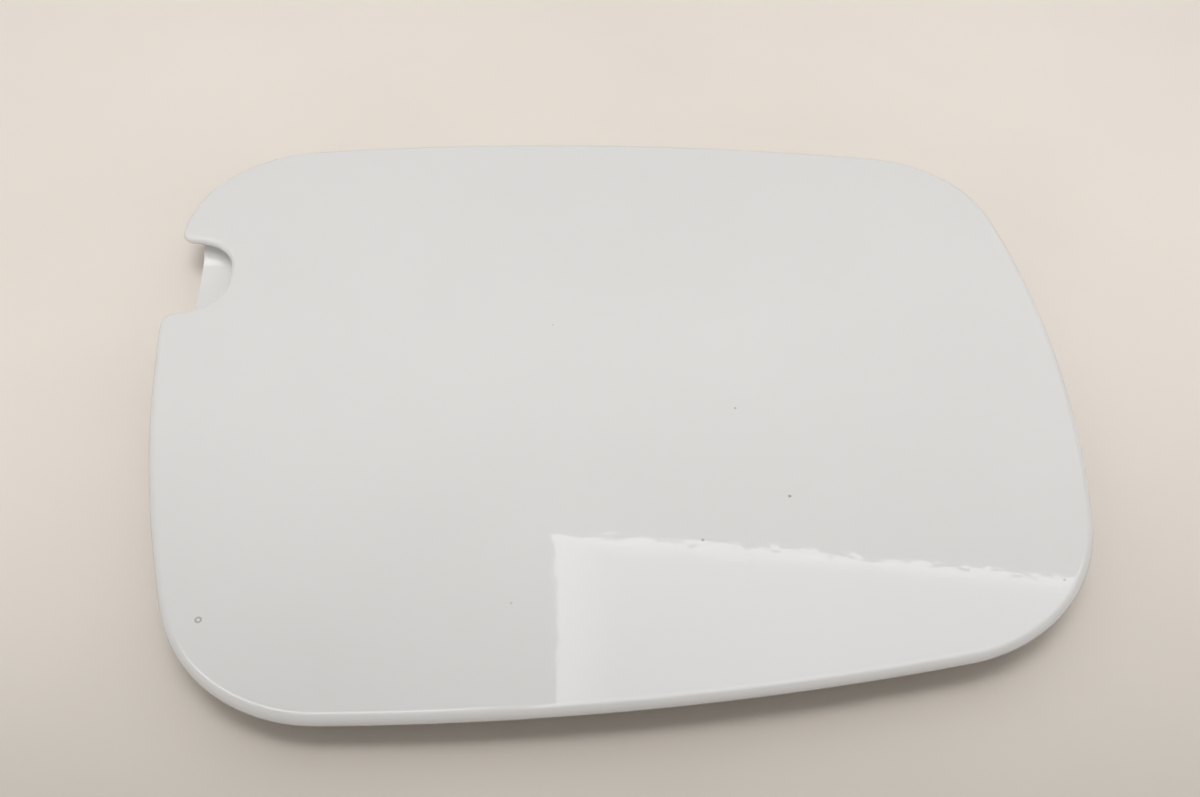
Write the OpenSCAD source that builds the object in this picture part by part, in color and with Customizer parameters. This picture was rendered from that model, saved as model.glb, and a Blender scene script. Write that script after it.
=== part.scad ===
// Car fuel door: crowned and hemmed outer skin with a finger notch and its cup,
// pressed inner panel, and a compact spring hinge under the right-hand edge.
// X runs from the latch edge to the hinge edge, Y up the car's side, Z out of the body.
// The origin is under the middle of the door, on the plane of the hinge bracket's foot.

/* [Door outline] */
// Width from latch edge to hinge edge
door_w = 190; // [182:1:200]
// Height from lower edge to upper edge
door_h = 158; // [150:1:168]
// Radius of the bulging hinge edge
hinge_edge_r = 268; // [240:1:320]
// Height at which the hinge edge reaches furthest out
hinge_edge_y = -9.5; // [-14:0.5:-5]
// Radius of the upper edge
upper_edge_r = 834; // [700:1:1200]
// Place along X of the upper edge's highest point
upper_edge_x = -22; // [-30:1:-10]
// Radius of the lower edge
lower_edge_r = 505; // [460:1:600]
// Place along X of the lower edge's lowest point
lower_edge_x = -46; // [-46:1:-40]
// Radius of the latch edge
latch_edge_r = 328; // [280:1:400]
// Height at which the latch edge reaches furthest out
latch_edge_y = 36; // [34:1:38]
// Corner radius, upper corner on the hinge side
corner_upper_hinge_r = 28.5; // [24:0.5:34]
// Corner radius, lower corner on the hinge side
corner_lower_hinge_r = 36; // [30:0.5:42]
// Corner radius, lower corner on the latch side
corner_lower_latch_r = 33; // [28:0.5:38]
// Corner radius, upper corner on the latch side
corner_upper_latch_r = 28.5; // [26:0.5:30]

/* [Crown and edge] */
// Height of the crown's middle above the bracket's foot
crown_z = 16.4; // [16:0.1:18]
// Drop of the crown from the middle to the hinge and latch edges
crown_drop_x = 2.5; // [1.5:0.1:3]
// Drop of the crown from the middle to the upper and lower edges
crown_drop_y = 4.0; // [3:0.1:4.4]
// Outer radius of the rolled edge
roll_r = 1.7; // [1.5:0.05:1.8]
// Thickness of the skin
skin_t = 0.8; // [0.6:0.05:0.9]
// Width of the hem's return flange from the edge
hem_w = 7; // [6:0.5:9]

/* [Finger notch] */
// Height of the notch's middle
notch_y = 32; // [31:0.2:33]
// Depth of the notch from the latch edge
notch_depth = 13.3; // [12.5:0.1:14]
// Radius of the notch's floor
notch_floor_r = 36; // [30:1:42]
// Half angle that the notch's floor spans
notch_floor_angle = 4.5; // [3.5:0.5:5.5]
// Radius of the notch's upper corner
notch_upper_r = 10.5; // [9.5:0.5:11.5]
// Radius of the notch's lower corner
notch_lower_r = 9.5; // [8.5:0.5:10.5]
// Flare of the notch's upper flank
notch_upper_flare = 11.5; // [9:0.5:14]
// Flare of the notch's lower flank
notch_lower_flare = 4; // [2:0.5:6]
// Radius of the two tips between notch and edge
notch_tip_r = 3.2; // [2.8:0.1:3.4]
// Inner radius of the fold round the notch, where the hem's roll is tighter
notch_fold_r = 0.2; // [0.15:0.05:0.4]

/* [Finger cup] */
// Distance of the cup's cut mouth from the latch edge
cup_inset = 4.5; // [3:0.1:6]
// Depth of the cup's floor below its rim
cup_depth = 7.4; // [5:0.1:8]
// Distance of the cup's wall outside the notch's edge
cup_margin = 2.8; // [2.6:0.1:3]
// Width of the flange round the cup
cup_flange_w = 4.2; // [3:0.1:5]
// Thickness of the cup's sheet
cup_t = 0.8; // [0.6:0.05:1]

/* [Inner panel] */
// Thickness of the inner panel's sheet
panel_t = 0.7; // [0.6:0.05:0.9]
// Thickness of the adhesive film in the hem and under the cup's flange
bond_t = 0.1; // [0.05:0.01:0.2]
// Height of the pan's underside above the bracket's foot
pan_z = 8.2; // [8:0.1:8.6]
// Height of the raised middle of the pan above its trough
plateau_rise = 3.5; // [2.5:0.1:4]
// Distance of the flange's outer edge from the door's edge
panel_inset = 2.2; // [2:0.1:2.6]
// Width of the flange in the hem
panel_flange_w = 9; // [8:0.5:11]
// Run of the sloping wall between the flange and the trough
panel_wall_run = 4; // [3:0.5:5]
// Width of the trough on the latch and hinge sides of the plateau
trough_w = 22.3; // [21.5:0.1:24]
// Run of the sloping wall between the trough and the plateau
plateau_run = 4.8; // [4:0.1:6]
// Diameter of the two locating holes in the plateau
locating_d = 8; // [6:0.5:10]
// Radius of the opening cut in the pan for the finger cup
cup_opening_r = 21.6; // [21:0.1:22.4]

/* [Hinge] */
// Distance of the hinge pin's axis inside the door's hinge edge
pin_inset = 6.4; // [6:0.1:7]
// Height of the hinge pin's axis above the bracket's foot
pin_z = 6.6; // [6.4:0.1:6.8]
// Diameter of the hinge pin
pin_d = 3.5; // [3:0.1:3.7]
// Outer radius of the ears round the pin
ear_r = 3.6; // [3.4:0.1:3.8]
// Distance between the inner faces of the bracket's ears
bracket_gap = 50; // [46:1:54]
// Thickness of the bracket's sheet at its ears
bracket_ear_t = 2; // [1.6:0.1:2.4]
// Thickness of the bracket's foot
bracket_foot_t = 1.5; // [1.2:0.1:1.7]
// Length of the bracket's foot on the latch side of the pin
foot_len = 32; // [30:1:36]
// Diameter of the bracket's screw holes
screw_d = 6.4; // [5:0.1:7]
// Distance of the screw holes from the pin's axis
screw_run = 24.6; // [22:0.1:26]
// Distance between the two screw holes
screw_pitch = 32; // [26:1:36]
// Thickness of the leaf's sheet
leaf_t = 1.5; // [1.2:0.1:1.6]
// Length of the leaf's plate from the pin's axis
leaf_len = 27; // [25:1:29]
// Wall of the plastic bushes
bush_wall = 0.65; // [0.5:0.05:0.7]
// Thickness of the bushes' flanges
bush_flange_t = 0.8; // [0.6:0.1:1]
// Thickness of the rubber pad that stops the door when it is open
stop_pad_t = 1.2; // [1:0.1:1.4]

/* [Spring] */
// Diameter of the spring's wire
wire_d = 1; // [0.8:0.05:1.05]
// Mean radius of the spring's coils
coil_r = 2.9; // [2.8:0.05:3]
// Number of coils
coils = 9; // [7:1:10]
// Clear space between neighbouring coils
coil_gap = 0.3; // [0.2:0.05:0.5]

/* [Catch] */
// Distance of the catch's eye inside the latch edge
catch_inset = 25; // [24:0.5:26]
// Place of the catch along Y
catch_y = -2; // [-8:1:0]
// Diameter of the eye for the lock pin
catch_eye_d = 4.2; // [3.5:0.1:4.4]
// Height of the eye's middle above the bracket's foot
catch_eye_z = 3.5; // [3.3:0.1:3.6]
// Width of the catch
catch_w = 16; // [14:1:18]

/* [Fittings] */
// Diameter of the rubber buffers
buffer_d = 11; // [9:0.5:12]
// Distance of the buffers inside the latch edge
buffer_inset = 33; // [31:0.5:35]
// Distance of the upper buffer below the upper edge
upper_buffer_inset = 23.5; // [23:0.5:24]
// Distance of the lower buffer above the lower edge
lower_buffer_inset = 25; // [24:0.5:26]
// Diameter of the rivets' shanks
rivet_d = 4; // [3:0.1:4.2]
// Diameter of the mastic dabs
mastic_d = 15; // [10:1:18]
// Clear width of the cap hanger's slot
hanger_slot = 11; // [9:0.5:13]
// Length of the cap hanger
hanger_len = 24; // [20:1:28]

/* [Hidden] */
$fn = 48;
// Smallest overlap that makes a cut pass clean through a face
eps = 0.01;
paint = "#dcdad7";
zinc = "#b9bcc0";
steel = "#8f9296";
rubber = "#26272a";
plastic = "#33353a";

// Points and directions
function unit(a) = [cos(a), sin(a)];
function angle_of(v) = atan2(v.y, v.x);
function dist(a, b) = norm(a - b);
function smooth(t) = let(c = min(1, max(0, t))) c * c * (3 - 2 * c);

// Height of the skin's crown over a point of the plan
function crown(p) = crown_z - crown_drop_x * pow(p.x / (door_w / 2), 2)
    - crown_drop_y * pow(p.y / (door_h / 2), 2);

// Meeting point of two circles, on the left of the line from a to b
function meet(a, ra, b, rb) =
    let(d = dist(a, b), u = (b - a) / d, run = (ra * ra - rb * rb + d * d) / (2 * d))
    a + u * run + [-u.y, u.x] * sqrt(ra * ra - run * run);

// First point where a line from p along direction d meets a circle that it starts inside
function line_meet(p, d, c, r) =
    let(q = p - c, b = q * d) p + d * (-b + sqrt(b * b - q * q + r * r));

// Centres of the four long edges
hinge_c = [door_w / 2 - hinge_edge_r, hinge_edge_y];
upper_c = [upper_edge_x, door_h / 2 - upper_edge_r];
latch_c = [latch_edge_r - door_w / 2, latch_edge_y];
lower_c = [lower_edge_x, lower_edge_r - door_h / 2];

// Centres of the four corners, each tangent to the two edges beside it
uh_c = meet(hinge_c, hinge_edge_r - corner_upper_hinge_r,
    upper_c, upper_edge_r - corner_upper_hinge_r);
ul_c = meet(upper_c, upper_edge_r - corner_upper_latch_r,
    latch_c, latch_edge_r - corner_upper_latch_r);
ll_c = meet(latch_c, latch_edge_r - corner_lower_latch_r,
    lower_c, lower_edge_r - corner_lower_latch_r);
lh_c = meet(lower_c, lower_edge_r - corner_lower_hinge_r,
    hinge_c, hinge_edge_r - corner_lower_hinge_r);

// The notch: floor, two corners tangent to it, and two tips tangent to flank and edge
floor_c = [notch_depth - door_w / 2 - notch_floor_r, notch_y];
nu_c = floor_c + (notch_floor_r - notch_upper_r) * unit(notch_floor_angle);
nl_c = floor_c + (notch_floor_r - notch_lower_r) * unit(-notch_floor_angle);
nu_end = 90 - notch_upper_flare;
nl_end = notch_lower_flare - 90;
upper_tip_c = line_meet(nu_c + (notch_upper_r + notch_tip_r) * unit(nu_end),
    unit(nu_end + 90), latch_c, latch_edge_r - notch_tip_r);
lower_tip_c = line_meet(nl_c + (notch_lower_r + notch_tip_r) * unit(nl_end),
    unit(nl_end - 90), latch_c, latch_edge_r - notch_tip_r);

// An arc is [centre, radius, start angle, end angle, steps, keep its last point].
// Convex arcs turn to the left, and the notch's arcs turn to the right.
function arc(c, r, a, b, n, last) = [c, r, a, b < a ? b + 360 : b, n, last];
function void_arc(c, r, a, b, n, last) = [c, r, a, b, n, last];

// Points of an arc after the outline has moved inwards by u
function arc_points(s, u) =
    let(r = s[3] > s[2] ? s[1] - u : s[1] + u)
    [for (i = [0:s[4] - 1 + s[5]]) s[0] + r * unit(s[2] + (s[3] - s[2]) * i / s[4])];

right_arcs = [
    arc(hinge_c, hinge_edge_r, angle_of(lh_c - hinge_c), angle_of(uh_c - hinge_c), 6, 0),
    arc(uh_c, corner_upper_hinge_r, angle_of(uh_c - hinge_c), angle_of(uh_c - upper_c), 9, 0),
    arc(upper_c, upper_edge_r, angle_of(uh_c - upper_c), angle_of(ul_c - upper_c), 6, 0),
    arc(ul_c, corner_upper_latch_r, angle_of(ul_c - upper_c), angle_of(ul_c - latch_c), 9, 0)];
notch_arcs = [
    arc(latch_c, latch_edge_r, angle_of(ul_c - latch_c), angle_of(upper_tip_c - latch_c), 1, 0),
    arc(upper_tip_c, notch_tip_r, angle_of(upper_tip_c - latch_c), nu_end + 180, 4, 1),
    void_arc(nu_c, notch_upper_r, nu_end, notch_floor_angle, 7, 0),
    void_arc(floor_c, notch_floor_r, notch_floor_angle, -notch_floor_angle, 2, 0),
    void_arc(nl_c, notch_lower_r, -notch_floor_angle, nl_end, 7, 1),
    arc(lower_tip_c, notch_tip_r, nl_end + 180, angle_of(lower_tip_c - latch_c), 4, 0),
    arc(latch_c, latch_edge_r, angle_of(lower_tip_c - latch_c), angle_of(ll_c - latch_c), 12, 0)];
plain_arcs = [
    arc(latch_c, latch_edge_r, angle_of(ul_c - latch_c), angle_of(ll_c - latch_c), 8, 0)];
lower_arcs = [
    arc(ll_c, corner_lower_latch_r, angle_of(ll_c - latch_c), angle_of(ll_c - lower_c), 9, 0),
    arc(lower_c, lower_edge_r, angle_of(ll_c - lower_c), angle_of(lh_c - lower_c), 6, 0),
    arc(lh_c, corner_lower_hinge_r, angle_of(lh_c - lower_c), angle_of(lh_c - hinge_c), 9, 0)];
door_arcs = concat(right_arcs, notch_arcs, lower_arcs);
pan_arcs = concat(right_arcs, plain_arcs, lower_arcs);

// Outline of the door with its notch, and of the pan without it, moved inwards by u
function door_ring(u) = [for (s = door_arcs) each arc_points(s, u)];
function pan_ring(u) = [for (s = pan_arcs) each arc_points(s, u)];

// Faces between neighbouring rings of n points, each ring a row of the point list
function band_faces(rows, n) = [for (j = [0:rows - 2], i = [0:n - 1])
    let(k = (i + 1) % n, a = j * n + i, b = j * n + k, c = a + n, d = b + n)
    each [[a, b, d], [a, d, c]]];

// Faces that fan from one point to a ring
function fan_faces(tip, first, n, flip) = [for (i = [0:n - 1])
    let(a = first + i, b = first + (i + 1) % n) flip ? [tip, b, a] : [tip, a, b]];

// Closed shell from rings that run from the top's middle, round the edge, to the
// underside's middle, with a point at each end
module ring_shell(rings, top, bottom) {
    n = len(rings[0]);
    rows = len(rings);
    points = concat([for (r = rings) each r], [top, bottom]);
    faces = concat(
        band_faces(rows, n),
        fan_faces(rows * n, 0, n, true),
        fan_faces(rows * n + 1, (rows - 1) * n, n, false));
    polyhedron(points = points, faces = faces, convexity = 6);
}

// Outer skin
// The star centre sees every stretch of the edge, the notch's flanks too
star_c = [30, notch_y - 7];
// Height of the hem's return flange below the crown: skin, film, panel, film, skin
hem_drop = 2 * skin_t + panel_t + 2 * bond_t;
edge_ring = door_ring(0);
inward = door_ring(1) - edge_ring;
notch_c = [notch_depth / 2 - door_w / 2, notch_y];
// The return flange is cut back round the notch, where the cup takes its place
relief_r = cup_opening_r;
relief_run = 9;
hem_share = [for (p = edge_ring) smooth((dist(p, notch_c) - relief_r) / relief_run)];
// The roll is back at its full radius before the return flange reaches under the panel
roll_lead = 4;
roll_share = [for (p = edge_ring) smooth((dist(p, notch_c) - relief_r + roll_lead) / relief_run)];
// Outer radius of the roll along the edge, and the seam where it meets the face
fold_r = skin_t + notch_fold_r;
edge_roll_r = [for (w = roll_share) fold_r + w * (roll_r - fold_r)];
seam_ring = [for (i = [0:len(edge_ring) - 1]) edge_ring[i] + edge_roll_r[i] * inward[i]];

function top_ring(share, drop) = [for (p = seam_ring)
    let(q = star_c + share * (p - star_c)) [q.x, q.y, crown(q) - drop]];

// Ring of the roll at depth t in the sheet, turned by angle a from its top
function roll_ring(t, a) = [for (i = [0:len(edge_ring) - 1])
    let(r = edge_roll_r[i], p = edge_ring[i] + (r - (r - t) * sin(a)) * inward[i])
    [p.x, p.y, crown(seam_ring[i]) - r + (r - t) * cos(a)]];

// Ring of the return flange at a share of its width, at depth t in the sheet. Where the
// flange is cut back it keeps only the least width, at the drop of the roll's end.
function flange_ring(share, least, t) = [for (i = [0:len(edge_ring) - 1])
    let(w = hem_share[i], r = edge_roll_r[i],
        u = r + least + w * (share * (hem_w - r) - least), p = edge_ring[i] + u * inward[i])
    [p.x, p.y, crown(p) - 2 * r - w * (hem_drop - 2 * r) + t]];

module outer_skin() {
    shares = [0.25, 0.5, 0.75, 0.92, 1];
    roll_turns = [30, 60, 90, 120, 150, 180];
    in_turns = [180, 135, 90, 45];
    knee = 0.45;
    tip = 0.3;
    rings = concat(
        [for (s = shares) top_ring(s, 0)],
        [for (a = roll_turns) roll_ring(0, a)],
        [flange_ring(knee, tip / 2, 0)],
        [flange_ring(1, tip, 0)],
        [flange_ring(1, tip, skin_t)],
        [flange_ring(knee, tip / 2, skin_t)],
        [for (a = in_turns) roll_ring(skin_t, a)],
        [for (s = [1, 0.92, 0.6, 0.3]) top_ring(s, skin_t)]);
    color(paint)
        ring_shell(rings, [star_c.x, star_c.y, crown(star_c)],
            [star_c.x, star_c.y, crown(star_c) - skin_t]);
}

// Finger cup
mouth_x = cup_inset - door_w / 2;
mouth_c = [mouth_x, notch_y];
// Drop of the rim and flange below the crown
rim_drop = skin_t + bond_t;
rim_z = crown([mouth_x, notch_y]) - rim_drop;
cup_floor_z = rim_z - cup_depth;

// Line round the notch, v outside its edge, from the mouth's upper end to its lower end
function cup_line(v) =
    let(up = nu_c + (notch_upper_r + v) * unit(nu_end), du = unit(nu_end + 90),
        lo = nl_c + (notch_lower_r + v) * unit(nl_end), dl = unit(nl_end - 90))
    concat(
        [up + du * (mouth_x - up.x) / du.x],
        arc_points(void_arc(nu_c, notch_upper_r, nu_end, notch_floor_angle, 5, 0), v),
        arc_points(void_arc(floor_c, notch_floor_r, notch_floor_angle,
            -notch_floor_angle, 4, 0), v),
        arc_points(void_arc(nl_c, notch_lower_r, -notch_floor_angle, nl_end, 6, 1), v),
        [lo + dl * (mouth_x - lo.x) / dl.x]);

// Ring of the bowl at turn a: flat at the floor, upright at the rim
cup_power = 2.6;
function bowl_ring(v, a, drop) =
    let(share = pow(sin(a), 2 / cup_power), rise = 1 - pow(cos(a), 2 / cup_power))
    [for (p = cup_line(v)) let(q = mouth_c + share * (p - mouth_c), top = crown(p) - rim_drop)
        [q.x, q.y, cup_floor_z + rise * (top - cup_floor_z) - drop]];

function cup_flange_ring(v, drop) = [for (p = cup_line(v)) [p.x, p.y, crown(p) - drop]];

module finger_cup() {
    turns = [for (a = [12:13:77]) a];
    out_v = cup_margin + cup_t;
    flange_v = out_v + cup_flange_w;
    rows = concat(
        [for (a = turns) bowl_ring(cup_margin, a, 0)],
        [cup_flange_ring(cup_margin, rim_drop)],
        [cup_flange_ring(flange_v, rim_drop)],
        [cup_flange_ring(flange_v, rim_drop + cup_t)],
        [cup_flange_ring(out_v, rim_drop + cup_t)],
        [for (i = [len(turns) - 1:-1:0]) bowl_ring(out_v, turns[i], cup_t)]);
    n = len(rows[0]);
    m = len(rows);
    top = m * n;
    under = top + 1;
    half = len(turns);
    // The sheet's cut edge at the mouth: two ends of the rows, joined at the floor
    function pair(i) = [i * n, (m - 1 - i) * n];
    end_a = [for (i = [0:m / 2 - 2]) let(p = pair(i), q = pair(i + 1))
        each [[p[0], p[1], q[1]], [p[0], q[1], q[0]]]];
    end_b = [for (f = end_a) [f[0] + n - 1, f[2] + n - 1, f[1] + n - 1]];
    floor_a = [[top, under, (m - 1) * n], [top, (m - 1) * n, 0]];
    floor_b = [[top, n - 1, (m - 1) * n + n - 1], [top, (m - 1) * n + n - 1, under]];
    faces = concat(
        [for (j = [0:m - 2], i = [0:n - 2]) let(a = j * n + i)
            each [[a, a + n + 1, a + 1], [a, a + n, a + n + 1]]],
        [for (i = [0:n - 2]) [top, i, i + 1]],
        [for (i = [0:n - 2]) [under, (m - 1) * n + i + 1, (m - 1) * n + i]],
        end_a, end_b, floor_a, floor_b);
    points = concat([for (r = rows) each r],
        [[mouth_x, notch_y, cup_floor_z], [mouth_x, notch_y, cup_floor_z - cup_t]]);
    color(paint)
        polyhedron(points = points, faces = faces, convexity = 6);
}

// Inner panel
flange_drop = skin_t + bond_t;
pan_top = pan_z + panel_t;
plateau_top = pan_top + plateau_rise;
trough_inset = panel_inset + panel_flange_w + panel_wall_run;
// The plateau's outlines are the trough's own outline, scaled about the middle
trough_reach = door_w / 2 - trough_inset;
trough_share = 1 - trough_w / trough_reach;
plateau_share = trough_share - plateau_run / trough_reach;
locating_places = [for (s = [-1, 1]) [s * trough_reach / 2, -10]];
function pan_flange_ring(u, drop) = [for (p = pan_ring(u)) [p.x, p.y, crown(p) - drop]];
function pan_flat_ring(share, z) = [for (p = pan_ring(trough_inset)) [share * p.x, share * p.y, z]];

module inner_panel() {
    rings = [
        pan_flat_ring(plateau_share, plateau_top),
        pan_flat_ring(trough_share, pan_top),
        pan_flat_ring(1, pan_top),
        pan_flange_ring(panel_inset + panel_flange_w, flange_drop),
        pan_flange_ring(panel_inset, flange_drop),
        pan_flange_ring(panel_inset, flange_drop + panel_t),
        pan_flange_ring(panel_inset + panel_flange_w, flange_drop + panel_t),
        pan_flat_ring(1, pan_z),
        pan_flat_ring(trough_share, pan_z),
        pan_flat_ring(plateau_share, plateau_top - panel_t)];
    color(zinc)
        difference() {
            ring_shell(rings, [0, 0, plateau_top], [0, 0, plateau_top - panel_t]);
            translate([mouth_x, notch_y, 0])
                cylinder(r = cup_opening_r, h = crown_z);
            for (p = leaf_rivet_places)
                translate([p.x, p.y, pan_z - 1])
                    cylinder(d = rivet_d + rivet_fit, h = panel_t + 2);
            for (p = catch_rivet_places)
                translate([p.x, p.y, pan_z - 1])
                    cylinder(d = rivet_d + rivet_fit, h = panel_t + 2);
            for (y = [upper_buffer_y, lower_buffer_y])
                translate([buffer_x, y, pan_z - 1])
                    cylinder(d = buffer_neck_d + rivet_fit, h = panel_t + 2);
            for (y = hanger_pegs)
                translate([hanger_x, y, plateau_top - panel_t - 1])
                    cylinder(d = peg_d + rivet_fit, h = panel_t + 2);
            for (p = locating_places)
                translate([p.x, p.y, plateau_top - panel_t - 1])
                    cylinder(d = locating_d, h = panel_t + 2);
        }
}

// Hem sealer
sealer_w = 1.4;
sealer_h = 1;
// The bead starts and ends where the return flange has its full width
function sealer_line(u, drop) = let(ring = door_ring(u), n = len(ring))
    [for (i = [0:n - 1]) [ring[i].x, ring[i].y, crown(ring[i]) - drop]];
sealer_keep = [for (i = [0:len(edge_ring) - 1])
    if (dist(edge_ring[i], notch_c) > relief_r + relief_run) i];
// Index after which the bead is broken by the notch
sealer_break = [for (i = [0:len(sealer_keep) - 2])
    if (sealer_keep[i + 1] > sealer_keep[i] + 1) i + 1][0];
sealer_order = concat([for (i = [sealer_break:len(sealer_keep) - 1]) sealer_keep[i]],
    [for (i = [0:sealer_break - 1]) sealer_keep[i]]);

module hem_sealer() {
    seat = flange_drop + panel_t + bond_t / 2;
    section = [[hem_w + bond_t / 2, seat], [hem_w + sealer_w, seat],
        [hem_w + sealer_w * 0.6, seat + sealer_h * 0.7], [hem_w + bond_t / 2, seat + sealer_h]];
    lines = [for (s = section) sealer_line(s[0], s[1])];
    count = len(sealer_order);
    k = len(section);
    points = [for (i = sealer_order) each [for (j = [0:k - 1]) lines[j][i]]];
    faces = concat(
        [for (i = [0:count - 2], j = [0:k - 1]) let(a = i * k + j, b = i * k + (j + 1) % k)
            each [[a, b, b + k], [a, b + k, a + k]]],
        [[for (j = [k - 1:-1:0]) j]],
        [[for (j = [0:k - 1]) (count - 1) * k + j]]);
    color("#6d6a62")
        polyhedron(points = points, faces = faces, convexity = 6);
}

// Mastic pads
mastic_places = [[-36, 26], [0, 32], [36, 26], [-36, -26], [0, -32], [36, -26]];
mastic_edge = 0.35;

module mastic_pads() {
    color("#4b4a47")
        for (p = mastic_places)
            let(far = [abs(p.x) + mastic_d / 4, abs(p.y) + mastic_d / 4],
                h = crown(far) - skin_t - bond_t - plateau_top)
            translate([p.x, p.y, plateau_top])
                rotate_extrude()
                    polygon([[0, 0], [mastic_d / 2, 0], [mastic_d / 2 + mastic_edge, h * 0.4],
                        [mastic_d / 2 - mastic_edge, h * 0.85], [mastic_d / 3, h], [0, h]]);
}

// Hinge places
pin_x = door_w / 2 - pin_inset;
pin_y = hinge_edge_y;
pin_r = pin_d / 2;
bush_fit = 0.06;
bush_r = pin_r + bush_fit + bush_wall;
press_fit = 0.05;
thrust_gap = 0.2;
rivet_fit = 0.1;
ear_face = bracket_gap / 2;
leaf_ear_out = ear_face - thrust_gap - bush_flange_t;
leaf_ear_in = leaf_ear_out - leaf_t;
leaf_z = pan_z - leaf_t;
leaf_end_x = pin_x - ear_r - 1;
leaf_rivet_run = 20;
leaf_rivet_pitch = 15;
leaf_rivet_x = pin_x - leaf_rivet_run;
leaf_rivet_places = [for (k = [-1:1]) [leaf_rivet_x, pin_y + k * leaf_rivet_pitch]];
spring_half = coils * (wire_d + coil_gap) / 2;
// Where the leaf's ears leave its plate
ear_root_x = pin_x - 13;
// The spring's upper leg hooks into a hole in the leaf's upper ear
hook_x = pin_x - 6.2;
hook_z = pin_z - 0.2;
wire_fit = 0.1;

// Turns a drawing in X and Z into a solid between two places along Y
module slab(from, to) {
    translate([0, to, 0])
        rotate([90, 0, 0])
            linear_extrude(to - from)
                children();
}

// Cylinder along Y between two places, round the hinge pin's axis
module on_pin(radius, from, to) {
    translate([pin_x, to, pin_z])
        rotate([90, 0, 0])
            cylinder(r = radius, h = to - from);
}

// Hinge leaf
lug_w = 1.8;
lug_reach = pin_z - bracket_foot_t - stop_pad_t - 0.1;

module leaf_ear(side) {
    near = pin_y + side * leaf_ear_in;
    far = pin_y + side * leaf_ear_out;
    from = min(near, far);
    to = max(near, far);
    on_pin(ear_r, from, to);
    slab(from, to)
        polygon([[ear_root_x, leaf_z], [pin_x - 2, pin_z - ear_r + 0.6],
            [pin_x + 0.5, pin_z + ear_r - 0.1], [pin_x - 1, pin_z + ear_r - 0.25],
            [leaf_end_x - 3, pan_z], [ear_root_x, pan_z]]);
    // Lug that meets the stop pad when the door stands open
    slab(from, to)
        translate([pin_x, pin_z])
            polygon([[0, -lug_w / 2], [lug_reach, -lug_w / 2], [lug_reach, lug_w / 2],
                [0, lug_w / 2]]);
}

module hinge_leaf() {
    color(steel)
        difference() {
            union() {
                translate([pin_x - leaf_len, pin_y - leaf_ear_out, leaf_z])
                    cube([leaf_len - (pin_x - leaf_end_x) - 3, 2 * leaf_ear_out, leaf_t]);
                leaf_ear(1);
                leaf_ear(-1);
            }
            // Hole for the spring's hook, in the upper ear
            translate([hook_x, pin_y + leaf_ear_out + 1, hook_z])
                rotate([90, 0, 0])
                    cylinder(d = wire_d + 2 * wire_fit, h = leaf_t + 2);
            on_pin(bush_r + press_fit, pin_y - leaf_ear_out - 1, pin_y + leaf_ear_out + 1);
            for (p = leaf_rivet_places)
                translate([p.x, p.y, leaf_z - 1])
                    cylinder(d = rivet_d + rivet_fit, h = leaf_t + 2);
        }
}

// Stiffening plate between the pan and the rivets' formed heads
doubler_t = 1;
doubler_margin = 7;

module hinge_doubler() {
    color(zinc)
        difference() {
            translate([leaf_rivet_x - doubler_margin, pin_y - leaf_rivet_pitch - doubler_margin,
                pan_top])
                cube([2 * doubler_margin, 2 * (leaf_rivet_pitch + doubler_margin), doubler_t]);
            for (p = leaf_rivet_places)
                translate([p.x, p.y, pan_top - 1])
                    cylinder(d = rivet_d + rivet_fit, h = doubler_t + 2);
        }
}

// Rivet from z0 to z1 with a domed head below and a flat formed head above
head_h = 1.3;

module rivet(z0, z1) {
    translate([0, 0, z0])
        rotate_extrude()
            polygon([[0, -head_h], [rivet_d * 0.45, -head_h], [rivet_d * 0.8, -head_h * 0.6],
                [rivet_d * 0.9, 0], [rivet_d / 2, 0], [rivet_d / 2, z1 - z0],
                [rivet_d * 0.8, z1 - z0], [rivet_d * 0.8, z1 - z0 + head_h * 0.7],
                [rivet_d * 0.7, z1 - z0 + head_h], [0, z1 - z0 + head_h]]);
}

module leaf_rivets() {
    color(steel)
        for (p = leaf_rivet_places)
            translate([p.x, p.y, 0])
                rivet(leaf_z, pan_top + doubler_t);
}

// Flanged bush, its flange facing the bracket's ear
bush_len = leaf_t + bush_flange_t + 1.6;

module bush(side) {
    flange_from = leaf_ear_out;
    flange_to = leaf_ear_out + bush_flange_t;
    inner = flange_to - bush_len;
    color(plastic)
        difference() {
            union() {
                on_pin(bush_r, min(side * inner, side * flange_to) + pin_y,
                    max(side * inner, side * flange_to) + pin_y);
                on_pin(ear_r - 0.2, min(side * flange_from, side * flange_to) + pin_y,
                    max(side * flange_from, side * flange_to) + pin_y);
            }
            on_pin(pin_r + bush_fit, pin_y - ear_face, pin_y + ear_face);
        }
}

module upper_bush() {
    bush(1);
}

module lower_bush() {
    bush(-1);
}

// Hinge bracket
foot_right = 1.8;
foot_half = ear_face + bracket_ear_t;

module bracket_ear(side) {
    near = pin_y + side * ear_face;
    far = pin_y + side * foot_half;
    from = min(near, far);
    to = max(near, far);
    on_pin(ear_r, from, to);
    slab(from, to)
        polygon([[pin_x - 14, 0], [pin_x + foot_right, 0], [pin_x + ear_r - 0.15, pin_z - 1],
            [pin_x - ear_r * 0.6, pin_z + ear_r * 0.8], [pin_x - 9, bracket_foot_t + 2],
            [pin_x - 14, bracket_foot_t]]);
}

screw_places = [for (s = [-1, 1]) [pin_x - screw_run, pin_y + s * screw_pitch / 2]];
foot_round = 5;

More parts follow.
